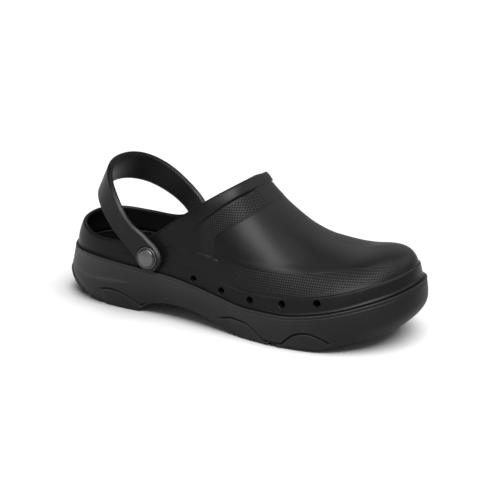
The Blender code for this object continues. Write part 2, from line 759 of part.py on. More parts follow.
def strap_points(at):
    """Points of the middle line in the shoe: up the tilt of the arms, and dropping away behind."""
    flat, _ = strap_path(at)
    back = np.array([-np.cos(STRAP_TILT), 0, np.sin(STRAP_TILT)])
    square = np.array([np.sin(STRAP_TILT), 0, np.cos(STRAP_TILT)])
    pivot = np.array([RIVET_STATION * LENGTH, 0, RIVET_HEIGHT])
    share = np.clip(flat[:, :1] / STRAP_REACH, 0, None)
    points = pivot + flat[:, :1] * back - STRAP_DROP * share**2 * square
    points[:, 1] += flat[:, 1]
    return points, share, square


def strap_frame(at):
    """Points along the strap, with the directions across its thickness, outwards, and across its width."""
    points, share, square = strap_points(at)
    tiny = 1e-4
    tangent = strap_points(np.clip(at + tiny, 0, 1))[0] - strap_points(np.clip(at - tiny, 0, 1))[0]
    tangent /= np.linalg.norm(tangent, axis=1)[:, None]
    outward = np.cross(square, tangent)
    outward /= np.linalg.norm(outward, axis=1)[:, None]
    upright = np.cross(tangent, outward)
    lean = STRAP_LEAN * share**2
    across = upright * np.cos(lean) + outward * np.sin(lean)
    return points, np.cross(across, tangent), across, share[:, 0]


def eye_share(side):
    """Share of the strap's run at which it crosses the rivets' axis."""
    at = np.linspace(0, 0.5, OUTLINE_SAMPLES)
    share = np.interp(0, strap_path(at)[0][:, 0], at)
    return share if side == LATERAL else 1 - share


def rivet_axis(side):
    """Outward axis of a rivet, and the middle of its eye."""
    points, outward, _, _ = strap_frame(np.array([eye_share(side)]))
    return outward[0], points[0]


def make_strap(material):
    run = strap_path(np.zeros(1))[1]
    eye = EYE_RADIUS / run
    round_end = eye * (1 - np.cos(np.linspace(np.radians(12), np.pi / 2, 7)))
    neck = np.linspace(eye, 3 * eye, 6)[1:]
    half = np.concatenate([round_end, neck, np.linspace(3 * eye, 0.5, STRAP_STEPS)[1:]])
    at = np.concatenate([half, 1 - half[-2::-1]])
    points, outward, across, share = strap_frame(at)
    from_end = np.minimum(at, 1 - at) * run
    from_eye = from_end - EYE_RADIUS
    eye_half = np.sqrt(np.maximum(EYE_RADIUS**2 - from_eye**2, 0))
    band_half = (STRAP_WIDTH + STRAP_WIDEN * share**2) / 2
    blended = (eye_half + band_half + np.hypot(eye_half - band_half, EYE_BLEND)) / 2
    wide = np.where(from_eye < 0, eye_half, np.minimum(blended, np.maximum(EYE_RADIUS, band_half)))
    thin = smoothstep(from_eye, *EYE_TAPER)
    thick = (EYE_THICK * (1 - thin) + STRAP_THICK * thin) / 2
    bevel = np.minimum(STRAP_BEVEL, wide / 2)
    corners = []
    for u, v in ((1, 1), (-1, 1), (-1, -1), (1, -1)):
        edge, face = (u * wide, v * (thick - bevel)), (u * (wide - bevel), v * thick)
        corners += [edge, face] if u * v > 0 else [face, edge]
    rings = np.stack([
        points + width[:, None] * across + depth[:, None] * outward for width, depth in corners], axis=1)
    shape = bmesh.new()
    loops = [[shape.verts.new((p - ORIGIN) * MM) for p in ring] for ring in rings]
    for loop, after in zip(loops, loops[1:]):
        for i, vert in enumerate(loop):
            j = (i + 1) % len(loop)
            shape.faces.new((vert, loop[j], after[j], after[i]))
    shape.faces.new(loops[0])
    shape.faces.new(loops[-1])
    piece = add_piece("strap", mesh_of("strap", shape), material)
    holes = bmesh.new()
    pockets = bmesh.new()
    for side in SIDES:
        axis, centre = rivet_axis(side)
        face = EYE_THICK / 2
        add_cylinder(holes, axis, centre, SHANK_RADIUS + GAP, -2 * face, 2 * face)
        add_cylinder(pockets, axis, centre, BUTTON_RADIUS + GAP, face - COUNTERBORE, 3 * face)
    cut(piece, mesh_of("eye_holes", holes), "eye_holes")
    cut(piece, mesh_of("eye_pockets", pockets), "eye_pockets")


def wall_inside(side):
    """Distance from the middle of an eye in to the inner face of the quarter."""
    axis, centre = rivet_axis(side)
    angle = np.linspace(0, np.pi / 2, PROFILE_SAMPLES)
    share = share_at(side, RIVET_STATION)
    profile = upper_sheet(side, np.full_like(angle, share), angle)
    wall = np.interp(centre[2], profile[:, 2], profile[:, 1])
    return abs(centre[1] - wall) + WALL


def make_rivets(button, badge):
    seat = EYE_THICK / 2 - COUNTERBORE + GAP
    top = seat + BUTTON_HEIGHT
    pocket = top - POCKET_DEPTH
    rim = BADGE_RADIUS + GAP
    for side in SIDES:
        axis, centre = rivet_axis(side)
        washer = -(wall_inside(side) + WASHER_GAP)
        profile = [
            (0, pocket), (rim, pocket), (rim, top), (BUTTON_RADIUS - BUTTON_BEVEL, top),
            (BUTTON_RADIUS, top - BUTTON_BEVEL), (BUTTON_RADIUS, seat), (SHANK_RADIUS, seat),
            (SHANK_RADIUS, washer), (WASHER_RADIUS, washer), (WASHER_RADIUS, washer - WASHER_THICK / 2),
            (WASHER_RADIUS - WASHER_BEVEL, washer - WASHER_THICK), (0, washer - WASHER_THICK)]
        name = f"rivet_{SIDE_NAMES[side]}"
        add_piece(name, turned_mesh(name, profile, axis, centre), button)
        base = pocket + GAP
        shoulder = base + POCKET_DEPTH
        dome = [(0, shoulder + BADGE_DOME)]
        for share in DOME_SHARES:
            dome.append((BADGE_RADIUS * share, shoulder + BADGE_DOME * (1 - share**2)))
        dome += [(BADGE_RADIUS, shoulder), (BADGE_RADIUS, base), (0, base)]
        name = f"badge_{SIDE_NAMES[side]}"
        add_piece(name, turned_mesh(name, dome, axis, centre), badge)


def plan_middle():
    """Middle of the sole's box in plan, which becomes the origin."""
    grids = np.concatenate([sole_grid(side).reshape(-1, 3) for side in SIDES])
    low, high = grids.min(axis=0), grids.max(axis=0)
    return np.array([(low[0] + high[0]) / 2, (low[1] + high[1]) / 2, 0.0])


ORIGIN = plan_middle()

for old in list(bpy.data.objects):
    bpy.data.objects.remove(old, do_unlink=True)

charcoal = foam("charcoal_foam", (0.022, 0.022, 0.023), 0.48)
make_sole(foam("sole_foam", (0.020, 0.020, 0.021), 0.55))
make_upper(charcoal)
make_insole(foam("footbed_foam", (0.016, 0.016, 0.017), 0.7))
make_strap(foam("strap_foam", (0.024, 0.024, 0.025), 0.45))
make_rivets(foam("button_plastic", (0.02, 0.02, 0.02), 0.3), foam("badge_plastic", (0.05, 0.05, 0.052), 0.2))
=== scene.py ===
import bmesh
import bpy
import numpy as np
from mathutils import Matrix, Vector


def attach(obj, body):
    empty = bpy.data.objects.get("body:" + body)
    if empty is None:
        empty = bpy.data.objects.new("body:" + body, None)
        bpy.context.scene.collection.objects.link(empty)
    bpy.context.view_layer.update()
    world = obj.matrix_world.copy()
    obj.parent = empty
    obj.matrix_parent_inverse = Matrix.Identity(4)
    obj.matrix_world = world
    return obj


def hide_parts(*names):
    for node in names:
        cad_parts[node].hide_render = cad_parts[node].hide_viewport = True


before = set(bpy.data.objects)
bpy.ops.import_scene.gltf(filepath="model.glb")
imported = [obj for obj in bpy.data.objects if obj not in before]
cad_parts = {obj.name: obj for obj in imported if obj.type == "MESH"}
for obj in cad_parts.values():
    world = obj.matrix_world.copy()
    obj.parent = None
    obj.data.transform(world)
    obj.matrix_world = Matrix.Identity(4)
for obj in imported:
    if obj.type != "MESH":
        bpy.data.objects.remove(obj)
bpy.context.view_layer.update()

mm = 0.001

sides = (-1, 1)  # lateral, medial
tiny = 1e-4  # step for slopes
sharpFrom = 35.0  # degrees between faces that shade apart
# points on curves that are only read from, and merging distances in mm
fine = {"outline": 4000, "tip": 500, "rim": 300, "columns": 4000, "rows": 400, "eye": 3000, "wall": 200}
merge = {"paired": 0.012, "turned": 0.005, "swept": 0.004}

# Form of the last, in mm. A station is a share of the length from heel to toe
last = {
    "length": 288,
    "ball": {-1: 54, 1: 51},  # half breadths
    "instep": 108, "heelRim": 57,
    "middle": (143.674, -1.4513, 0),  # origin of the frame, from the heel's end
    "plan": {
        "station": [0.012, 0.047, 0.132, 0.295, 0.451, 0.608, 0.736, 0.851, 0.938, 0.987],
        -1: [0, 0.47, 0.703, 0.769, 0.843, 0.963, 1, 0.87, 0.574, 0.148],
        1: [0, 0.488, 0.716, 0.755, 0.751, 0.888, 1, 0.935, 0.7, 0.29],
    },
    "heights": {
        "station": [0, 0.05, 0.115, 0.26, 0.285, 0.315, 0.375, 0.45, 0.52, 0.6, 0.69, 0.785, 0.84, 0.9,
                    0.95, 1],
        "lip": [38.5, 38.4, 38.3, 35.5, 35, 34.6, 33.2, 30.3, 26.6, 23.2, 23.4, 27.3, 31, 36, 40.2, 45.4],
        "bottom": [5, 2.6, 0, 0, 5.2, 9.2, 11.6, 9.6, 4.6, 0, 0, 0, 4, 8.6, 12.4, 17.5],
        "floor": [28.5, 28, 27.5, 27, 26.9, 26.8, 26.2, 24.4, 21.8, 19.8, 18.8, 19.4, 21.4, 24, 26.6, 29],
        "turn": [6.6, 5.6, 4, 3, 2.4, 2, 1.8, 2, 1.6, -0.6, -1.2, -0.6, 1.8, 4.2, 5.6, 6.5],
        "bulge": [2.3, 2.3, 2, 1.2, 1, 0.9, 0.8, 0.8, 0.8, 0.8, 0.9, 1.1, 1.3, 1.5, 1.6, 1.6],
    },
    "spine": {
        "station": [0.13, 0.3, 0.43, 0.51, 0.556, 0.577, 0.628, 0.684, 0.74, 0.819, 0.896, 1],
        "height": [1.66, 1.52, 1.33, 1.136, 0.98, 0.912, 0.785, 0.679, 0.617, 0.583, 0.616, 0.616],
        "side": [0, -0.5, 0.5, 1.1, 1.5, 2, 2.5, 3.2, 4, 5, 6, 6],
        "fullness": [2.3, 2.3, 2.25, 2.2, 2.2, 2.2, 2.2, 2.2, 2.3, 2.6, 3.1, 3.1],
    },
    "heelFan": (0.31, 0.14),  # where columns start to lean to a pole, and the pole's station
    "toeFan": (0.69, 0.896),
    "lean": {"station": [0, 0.04, 0.12, 0.25, 0.35, 1], "share": [0.28, 0.25, 0.11, 0.04, 0, 0]},
    "leanBend": (20, 0.8),  # height of the rise and power
    "toeLean": {"station": [0, 0.82, 0.93, 1], "share": [0, 0, 0.16, 0.26]},
    "rim": {
        "station": [0, 0.06, 0.16, 0.27, 1],
        -1: [1.095, 1.03, 0.93, 0.93, 0.95],
        1: [1.095, 1.065, 0.99, 0.95, 0.95],
    },
    "rimTurn": (-12, 12),  # across, from lateral to medial
    "rimBlend": 5, "collarSlope": 0.647,
    "collarAnchor": 0.556,  # where the collar is as high as the instep
    "collarBow": (99, 172, 2.4, 0.7),  # from, to, rise and power
    "bowFade": (-4, 10), "collarDip": (150, 162, 0.2),
    "tipRange": (0.5, 0.6),  # where the collar meets the ridge
    "footRise": 0.8,  # foot of the upper over the lip
}


# Cubic pieces through a row of a table, with harmonic means as slopes, never beyond its values
def curve(table, name, at):
    x, y = np.array(table["station"], float), np.array(table[name], float)
    width = np.diff(x)
    slope = np.diff(y) / width
    bend = np.zeros_like(y)
    same = slope[:-1] * slope[1:] > 0
    both = np.where(same, slope[:-1] + slope[1:], 1.0)
    bend[1:-1] = np.where(same, 2 * slope[:-1] * slope[1:] / both, 0)
    bend[0], bend[-1] = slope[0], slope[-1]
    at = np.clip(at, x[0], x[-1])
    cell = np.clip(np.searchsorted(x, at, side="right") - 1, 0, len(width) - 1)
    h = width[cell]
    t = (at - x[cell]) / h
    start = (1 + 2 * t) * (1 - t) ** 2 * y[cell] + t * (1 - t) ** 2 * h * bend[cell]
    return start + t * t * (3 - 2 * t) * y[cell + 1] - t * t * (1 - t) * h * bend[cell + 1]


# Cubic spline, natural at its ends or closed
def splineThrough(knots, points, closed, at):
    points = np.asarray(points, float)
    count, h = len(points), np.diff(knots)
    system, right = np.eye(count), np.zeros_like(points)
    chord = np.diff(np.vstack([points, points[:1]]) if closed else points, axis=0) / h[:, None]
    for i in range(0 if closed else 1, count if closed else count - 1):
        system[i, i - 1], system[i, i], system[i, (i + 1) % count] = h[i - 1], 2 * (h[i - 1] + h[i]), h[i]
        right[i] = 6 * (chord[i] - chord[i - 1])
    moment = np.linalg.solve(system, right)
    cell = np.clip(np.searchsorted(knots, at, side="right") - 1, 0, len(h) - 1)
    after = (cell + 1) % count
    a = ((knots[cell + 1] - at) / h[cell])[:, None]
    b = 1 - a
    bow = (a ** 3 - a) * moment[cell] + (b ** 3 - b) * moment[after]
    return a * points[cell] + b * points[after] + bow * (h[cell] ** 2)[:, None] / 6


# Running length at each point, the sum of the steps before it
def runAlong(points):
    steps = np.linalg.norm(np.diff(np.asarray(points, float), axis=0), axis=1)
    return np.concatenate([[0], np.cumsum(steps)])


# Smooth step from 0 at low to 1 at high: three squares less two cubes of the part between
def ease(value, low, high):
    t = np.clip((value - low) / (high - low), 0, 1)
    return t * t * (3 - 2 * t)


# Bell of height 1: e to minus the square of the distance in widths
def hump(value, middle, width):
    return np.exp(-((value - middle) / width) ** 2)


# a at share 0, b at share 1, straight between
def blend(a, b, share):
    return a * (1 - share) + b * share


# Vectors over their lengths
def unit(vectors):
    return vectors / np.linalg.norm(vectors, axis=-1)[..., None]


# Even marks from a to b without the first
def stretch(a, b, count):
    return np.linspace(a, b, count + 1)[1:]


# Least of several distances, rounded where two meet: minus the log of a sum of falling powers
def softLeast(distances, rounding):
    return -rounding * np.log(sum(np.exp(-np.clip(d, -60, 60) / rounding) for d in distances))


# Row of the last's heights at a station
def level(name, station):
    return curve(last["heights"], name, station)


# Share of the length at which points lie
def stationOf(points):
    return points[..., 0] / last["length"]


# Points of a plan, lifted to a height
def atHeight(plan, height):
    return np.concatenate([plan, np.broadcast_to(height, plan.shape[:-1])[..., None]], axis=-1)


# Halves of the lip from heel to toe: share of the run, points, inward normals
def outlineHalves():
    plan = last["plan"]
    x = np.array(plan["station"]) * last["length"]
    lateral, medial = [np.stack([x, s * np.array(plan[s]) * last["ball"][s]], axis=1) for s in sides]
    ring = np.vstack([lateral, medial[:0:-1]])
    knots = runAlong(np.vstack([ring, ring[:1]]))
    at = np.linspace(0, knots[-1], fine["outline"], endpoint=False)
    points = splineThrough(knots, ring, True, at)
    tip = int(np.argmax(points[:, 0]))
    halves = {}
    for side in sides:
        half = points[:tip + 1] if side < 0 else np.vstack([points[:1], points[:tip - 1:-1]])
        tangent = np.gradient(half, axis=0)
        tangent[0], tangent[-1] = (0, side), (0, -side)
        inward = unit(np.stack([-tangent[:, 1], tangent[:, 0]], axis=1) * -side)
        run = runAlong(half)
        halves[side] = {"share": run / run[-1], "points": half, "inward": inward}
    return halves


outline = outlineHalves()


# Lip or inward normal at a share of a half
def readHalf(side, share, name):
    half = outline[side]
    return np.stack([np.interp(share, half["share"], half[name][:, i]) for i in (0, 1)], axis=-1)


# Plan point at a share of a half, moved in from the lip along its normal
def lipPoint(side, share, inset):
    return readHalf(side, share, "points") + np.asarray(inset)[..., None] * readHalf(side, share, "inward")


# Station of the lip at a share of a half
def lipStation(side, share):
    return stationOf(readHalf(side, share, "points"))


# Share of a half at which the lip has a station
def shareAt(side, station):
    return np.interp(station * last["length"], outline[side]["points"][:, 0], outline[side]["share"])


# Station on the ridge that a column leans to: its own, drawn to a pole at heel and toe by a square
def ridgeStation(share):
    own = (lipStation(-1, share) + lipStation(1, share)) / 2
    behind = np.maximum(last["heelFan"][0] - own, 0) / last["heelFan"][0]
    ahead = np.maximum(own - last["toeFan"][0], 0) / (1 - last["toeFan"][0])
    return own + last["heelFan"][1] * behind ** 2 - (1 - last["toeFan"][1]) * ahead ** 2


# Plan point on the ridge that a column leans to
def ridgePoint(share):
    station = ridgeStation(share)
    return np.stack([station * last["length"], curve(last["spine"], "side", station)], axis=-1)


# Distance under the collar: the greater of a sloping plane and the heel's rim, blended by a root of squares
def belowCollar(points):
    station = stationOf(points)
    plane = last["instep"] + last["collarSlope"] * (station - last["collarAnchor"]) * last["length"]
    rims = [curve(last["rim"], side, station) for side in sides]
    rim = last["heelRim"] * blend(*rims, ease(points[..., 1], *last["rimTurn"]))
    edge = rim + (plane - rim + np.hypot(plane - rim, last["rimBlend"])) / 2
    return (edge - points[..., 2]) / np.hypot(1, last["collarSlope"])


# The visible edge bows up on the lateral side by a power of a sine, and dips at its tip
def belowEdge(points):
    low, high, rise, power = last["collarBow"]
    part = np.clip((points[..., 0] - low) / (high - low), 0, 1)
    bow = rise * np.sin(np.pi * part) ** power * (1 - ease(points[..., 1], *last["bowFade"]))
    start, end, dip = last["collarDip"]
    return belowCollar(points) + bow - dip * ease(points[..., 0], start, end)


# Station at which the visible edge crosses the ridge
def collarTip():
    station = np.linspace(*last["tipRange"], fine["tip"])
    height = last["instep"] * curve(last["spine"], "height", station)
    plan = np.stack([station * last["length"], curve(last["spine"], "side", station)], axis=-1)
    return np.interp(0, belowEdge(atHeight(plan, height)), station)


apexStation = collarTip()


# From mm on the last to metres in the frame
def inFrame(points):
    return (np.asarray(points) - np.array(last["middle"])) * mm


# New object in the scene
def addObject(name, data):
    thing = bpy.data.objects.new(name, data)
    bpy.context.scene.collection.objects.link(thing)
    return thing


# Mesh from points and faces, with values per point
def rawMesh(name, points, faces, values):
    mesh = bpy.data.meshes.new(name)
    mesh.from_pydata(points.reshape(-1, 3).tolist(), [], faces)
    for key, numbers in values.items():
        layer = mesh.attributes.new(key, "FLOAT", "POINT")
        layer.data.foreach_set("value", numbers.ravel().astype(np.float32))
    return mesh


# Merges points, drops loose ones and turns faces outward
def cleaned(mesh, within):
    shape = bmesh.new()
    shape.from_mesh(mesh)
    bmesh.ops.remove_doubles(shape, verts=shape.verts, dist=within * mm)
    bmesh.ops.delete(shape, geom=[v for v in shape.verts if not v.link_faces], context="VERTS")
    bmesh.ops.recalc_face_normals(shape, faces=shape.faces)
    shape.to_mesh(mesh)
    shape.free()
    return mesh


# Closed mesh from a lateral and a medial grid of points, with grids of values
def pairedMesh(name, halves, skip=None, values=None):
    rows, columns = halves[-1].shape[:2]
    first = np.arange(rows - 1)[:, None] * columns + np.arange(columns - 1)[None, :]
    cells = np.stack([first, first + 1, first + columns + 1, first + columns], axis=-1)
    cells = cells[np.ones(first.shape, bool) if skip is None else ~skip]
    faces = np.vstack([cells, cells[:, ::-1] + rows * columns]).tolist()
    both = {key: np.stack([grids[s] for s in sides]) for key, grids in (values or {}).items()}
    points = inFrame(np.stack([halves[s] for s in sides]))
    return cleaned(rawMesh(name, points, faces, both), merge["paired"])


# Faces between closed rows of points
def ringFaces(rows, around):
    start, step = np.arange(rows - 1)[:, None] * around, np.arange(around)[None, :]
    first, after = start + step, start + (step + 1) % around
    return np.stack([first, after, after + around, first + around], axis=-1).reshape(-1, 4).tolist()


# Solid turned about an axis: a profile of (radius, height) carried round a circle, with values
def turnedMesh(name, profile, axis, centre, steps=72, values=None):
    profile = np.asarray(profile, float)
    turn = np.linspace(0, 2 * np.pi, steps, endpoint=False)
    radius, height = profile[:, :1], profile[:, 1:]
    grid = np.stack([radius * np.cos(turn), radius * np.sin(turn), height + 0 * turn], axis=-1) * mm
    around = {key: np.repeat(numbers, steps) for key, numbers in (values or {}).items()}
    mesh = rawMesh(name, grid, ringFaces(len(profile), steps), around)
    place = Matrix.Translation(Vector(inFrame(centre)))
    mesh.transform(place @ Vector(axis).to_track_quat("Z", "Y").to_matrix().to_4x4())
    return cleaned(mesh, merge["turned"])


# Profile of a cylinder
def tube(radius, low, high):
    return [(0, low), (radius, low), (radius, high), (0, high)]


# Piece on the one body, in place of a node
def addPiece(name, mesh, node, slotName, sharp=None):
    mesh.shade_smooth()
    if sharp:
        mesh.set_sharp_from_angle(angle=np.radians(sharp))
    piece = addObject(name, mesh)
    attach(piece, "root")
    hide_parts(node)
    print(name, "has", sum(len(p.vertices) - 2 for p in mesh.polygons), "triangles")
    return piece


# Takes closed cutters out of a piece for good
def carve(piece, cutters):
    shape = bmesh.new()
    for mesh in cutters:
        shape.from_mesh(mesh)
        bpy.data.meshes.remove(mesh)
    joined = bpy.data.meshes.new("cutters")
    shape.to_mesh(joined)
    shape.free()
    cutter = addObject("cutters", joined)
    boolean = piece.modifiers.new("carve", "BOOLEAN")
    boolean.operation, boolean.solver, boolean.object = "DIFFERENCE", "EXACT", cutter
    carved = bpy.data.meshes.new_from_object(piece.evaluated_get(bpy.context.evaluated_depsgraph_get()))
    piece.modifiers.clear()
    old = piece.data
    carved.name, piece.data = old.name, carved
    bpy.data.meshes.remove(old)
    bpy.data.objects.remove(cutter)
    bpy.data.meshes.remove(joined)


# Strap: two tilted arms and a loop, with a round eye at each end
strapForm = {
    "rivet": (0.311, 46.8),  # station and height of the rivets' axis
    "tilt": 56,
    "reach": [-11, 0, 9, 21, 36, 52, 65],
    -1: [43.4, 42.9, 42.6, 44.2, 46.2, 40.1, 26.2],
    1: [39.2, 39.4, 42.8, 46.8, 43.9, 37, 25.2],
    "end": (71.8, -3),
    "drop": (15.2, 2.45),  # fall of the loop behind the arms' tilt, and its power
    "lean": 31, "width": 17.4, "widen": 8,
    "root": (12, 11, 1.1),  # reach, spread and gain in half width by the lateral eye
    "neck": (31, 12, -0.5),  # and further up that arm
    "bow": {-1: (23.5, 16, 3.1), 1: (13, 8, -1.6)},  # reach, spread and depth
    "bowTurn": (-20, 20), "thick": 4.4, "eye": 11, "eyeThick": 5.2, "eyeBlend": 2,
    "eyeTaper": (6, 22), "bevel": 1.7, "bevelRound": 0.2,
    "bevelSag": 0.15,  # share of the round at its middle point
    "faceMarks": (-0.6, -0.2, 0.2, 0.6), "counterbore": 1.5, "pocket": 8.7,
    "pocketBevel": (0.5, 0.3, 0.2),  # outward, below and above the face
    "steps": 300, "endSteps": 40, "endAngle": 2, "wellSteps": 80,
}


# Middle line, a spline as (reach, side) from the lateral eye to the medial one, and its run
def strapLine(at):
    s = strapForm
    lateral, medial = [[(r, side * w) for r, w in zip(s["reach"], s[side])] for side in sides]
    points = [*lateral, s["end"], *medial[::-1]]
    knots = runAlong(points)
    return splineThrough(knots, points, False, np.clip(at, 0, 1) * knots[-1]), knots[-1]


# The line laid up the tilt of the arms, dropping behind by a power of its reach, with a bow on each arm
def strapPoints(at):
    s = strapForm
    flat, _ = strapLine(at)
    tilt = np.radians(s["tilt"])
    back = np.array([-np.cos(tilt), 0, np.sin(tilt)])
    square = np.array([np.sin(tilt), 0, np.cos(tilt)])
    share = np.clip(flat[:, :1] / s["end"][0], 0, None)
    pivot = np.array([s["rivet"][0] * last["length"], 0, s["rivet"][1]])
    bows = [s["bow"][side][2] * hump(flat[:, :1], *s["bow"][side][:2]) for side in sides]
    fall, power = s["drop"]
    behind = fall * share ** power + blend(*bows, ease(flat[:, 1:], *s["bowTurn"]))
    points = pivot + flat[:, :1] * back - behind * square
    points[:, 1] += flat[:, 1]
    return points, share, square


# Points, the band's outward and crosswise directions, and reach. It leans by the square of its reach
def strapFrame(at):
    points, share, square = strapPoints(at)
    tangent = unit(strapPoints(np.clip(at + tiny, 0, 1))[0] - strapPoints(np.clip(at - tiny, 0, 1))[0])
    outward = unit(np.cross(square, tangent))
    upright = np.cross(tangent, outward)
    lean = np.radians(strapForm["lean"]) * share ** 2
    across = upright * np.cos(lean) + outward * np.sin(lean)
    return points, np.cross(across, tangent), across, share[:, 0] * strapForm["end"][0]


# Outward axis of a rivet and the middle of its eye
def rivetAxis(side):
    at = np.linspace(0, 0.5, fine["eye"])
    share = np.interp(0, strapLine(at)[0][:, 0], at)
    points, outward, _, _ = strapFrame(np.array([share if side < 0 else 1 - share]))
    return outward[0], points[0]


# Upper: foam shell with a collar band, a smooth patch on the vamp, a wing line and a vent band
upperForm = {
    "wall": 3.2,
    "foot": {  # vent band, and the inset of the foot
        "station": [0, 0.1, 0.17, 0.22, 0.37, 0.46, 0.64, 0.75, 0.86, 0.95, 1],
        "width": [6, 6, 5, 8, 10.2, 10, 10.9, 11.9, 11.4, 10.2, 9.4],
        "step": [0, 0, 0, 0.2, 0.35, 0.45, 0.7, 1.1, 1.2, 1, 0.9],
        "flare": [0, 0, 0, 0.2, 1, 1, 0.6, 0.1, -0.2, -0.2, -0.2],
        "bead": [0.5, 0.5, 0.5, 0.3, 0.3, 0.4, 0.7, 1, 1.1, 1.1, 1],
        "inset": [2.7, 2.5, 2.6, 3, 3.4, 3.4, 3.4, 3.4, 3.4, 3.4, 3.4],
    },
    "ventStep": (0.65, 0.6),  # half of its run, and its straight share
    "flarePower": 1.2,
    "footBead": (0.4, 0.8),  # height, and the run in which it ends
    "waist": {  # lower edge of the patch on the vamp
        "station": [0, 0.33, 0.37, 0.43, 0.49, 0.545, 0.6, 0.655, 0.73, 0.795, 0.86, 0.924, 1],
        "height": [55.6, 55.8, 56, 55.6, 53.9, 53.3, 52.3, 52.6, 53, 55.2, 58.3, 60.8, 62],
    },
    "wing": {  # raised line on the quarter, with a hook at its front end
        "station": [0, 0.33, 0.37, 0.43, 0.48, 0.5, 0.512, 0.522, 1],
        "height": [55.6, 55.8, 56, 55.6, 54.3, 53.4, 52, 50.2, 50.2],
        "rise": [0, 0, 0.45, 0.9, 1.05, 1.05, 0.8, 0, 0],
    },
    "wingHalf": 0.75,
    "band": {
        "station": [0, 0.4, 0.43, 0.46, 0.52, 0.55, 0.6],
        "width": [12, 12.4, 12.2, 11.4, 9.2, 8.6, 8.4],
        "step": 1.2, "crown": 0.3, "run": (-0.7, 0.5), "fade": (0.405, 0.475),
        "groove": (0.3, 0.8, 0.7),  # depth, place below the band and half width
        "front": (3, 22, 0.15),  # distances from the ridge, and share there
    },
    "ridgeSide": 1.5, "rimRound": 1.8,
    # smooth patch of the vamp, from this far below the collar, and the fine line round it
    "patch": {"below": 22, "rear": 142.5, "round": 2.6, "drop": 0.25, "edge": (-0.5, 0.9),
              "fade": (1, 5), "line": (4, 12)},
    "emboss": {  # ranges in which the pits begin or end
        "patch": (-0.7, 0.1), "crease": (0.5, 5), "band": (0.8, 2.2), "ridge": (8, 18),
        "rear": (127, 138), "front": (254, 282), "waist": (-0.4, 0.4), "wing": (148, 170),
    },
    "columns": 250,
    "columnWeight": (0.5, 0.2, 0.32),  # at the heel, and where it grows to 1
    "apexWeight": (1.6, 0.02, 0.018),
    "rows": {"foot": 12, "fold": 8, "side": 18, "waist": 8, "wall": 48, "band": 8, "collar": 7, "rim": 8},
    "rowHalf": 0.9,  # half of a stretch of close rows
    "rowGap": 0.4,
    # highest fold and waist and lowest band in a column, and room over the band
    "rowLimits": {"fold": 0.4, "waist": 0.5, "band": 0.7, "room": 2.4, "rim": 1.1, "open": -1.5},
    "insideStep": 5,  # rows of the outside to one of the inside
    "archFrom": 0.3, "archFoot": 0.603, "archTo": 0.82, "frontBlend": 0.14,
    "vents": [(0.4385, 35.3), (0.5226, 31.6), (0.6076, 29.8), (0.698, 31.8), (0.7889, 36)],
    "ventRadius": 2.7, "ventReach": 8, "rivetHole": 3.3, "rivetReach": (-16, 8), "holeSteps": 40,
}


# Base surface: a superellipse from foot to ridge, leaning in at heel and toe by powers of its rise
def upperSheet(side, share, angle):
    ridge, station = ridgeStation(share), lipStation(side, share)
    foot = lipPoint(side, share, curve(upperForm["foot"], "inset", station))
    low = level("lip", station) + last["footRise"]
    high = last["instep"] * curve(last["spine"], "height", ridge)
    power = curve(last["spine"], "fullness", ridge)
    spread = (np.cos(angle) ** power + np.sin(angle) ** power) ** (-1 / power)
    rise = (high - low) * np.sin(angle) * spread
    height, bend = last["leanBend"]
    lean = curve(last["lean"], "share", station) * rise * (np.maximum(rise, 0) / height) ** bend
    lean = lean + curve(last["toeLean"], "share", station) * rise * np.cos(angle) ** 2
    centre = ridgePoint(share)
    plan = centre + (foot - centre) * (np.cos(angle) * spread)[..., None]
    return atHeight(plan + readHalf(side, share, "inward") * lean[..., None], low + rise)


# Angle at which the base surface meets the collar or the ridge
def rimAngle(side, share):
    angle = np.linspace(0, np.pi / 2, fine["rim"])
    depth = belowEdge(upperSheet(side, share[None, :], angle[:, None] * np.ones_like(share)))
    return np.array([np.interp(0, -depth[:, i], angle) for i in range(len(share))])


# Shares at foot and top of each column. They lean so that the tops are even round the collar
def columnEnds():
    u = upperForm
    dense = np.linspace(0, 1, fine["columns"])
    ridge = ridgeStation(dense)
    apex = np.interp(apexStation, ridge, dense)
    arch = np.append(dense[(ridge > u["archFrom"]) & (dense < apex)], apex)
    arc = runAlong(upperSheet(-1, arch, rimAngle(-1, arch)))
    apexFoot, front = shareAt(-1, u["archFoot"]), shareAt(-1, u["archTo"])
    feet = np.concatenate([[0], arch[0] + (apexFoot - arch[0]) * arc / arc[-1], [front, 1]])
    tops = np.concatenate([[0], arch, [front, 1]])
    # sparse round the heel, close where the band crosses the ridge
    heel, start, end = u["columnWeight"]
    gain, ahead, spread = u["apexWeight"]
    weight = heel + (1 - heel) * ease(lipStation(-1, dense), start, end)
    total = np.cumsum(weight + gain * hump(dense, apexFoot + ahead, spread))
    at = np.interp(np.linspace(0, 1, u["columns"]), (total - total[0]) / (total[-1] - total[0]), dense)
    at[np.argmin(np.abs(at - apexFoot))] = apexFoot
    return at, np.interp(at, feet, tops), apex


feet, tops, apexShare = columnEnds()
onRidge = tops > apexShare - 1e-9
rimAngles = {side: rimAngle(side, tops) for side in sides}


# Share at a part of the way up a column, moved from foot to top by its square
def leaningShare(way):
    return feet + (tops - feet) * way ** 2


# Height over the vent band's crease, height of the foot, and station
def overCrease(side, way, grid):
    station = lipStation(side, leaningShare(way))
    low = level("lip", station) + last["footRise"]
    return grid[..., 2] - low - curve(upperForm["foot"], "width", station), low, station


# Height over the waist
def overWaist(grid):
    return grid[..., 2] - curve(upperForm["waist"], "height", stationOf(grid))


# Depth under the lower edge of the collar band
def belowBand(grid):
    return belowEdge(grid) - curve(upperForm["band"], "width", stationOf(grid))


# Distance across from the ridge
def fromRidge(grid):
    return np.abs(grid[..., 1] - upperForm["ridgeSide"])


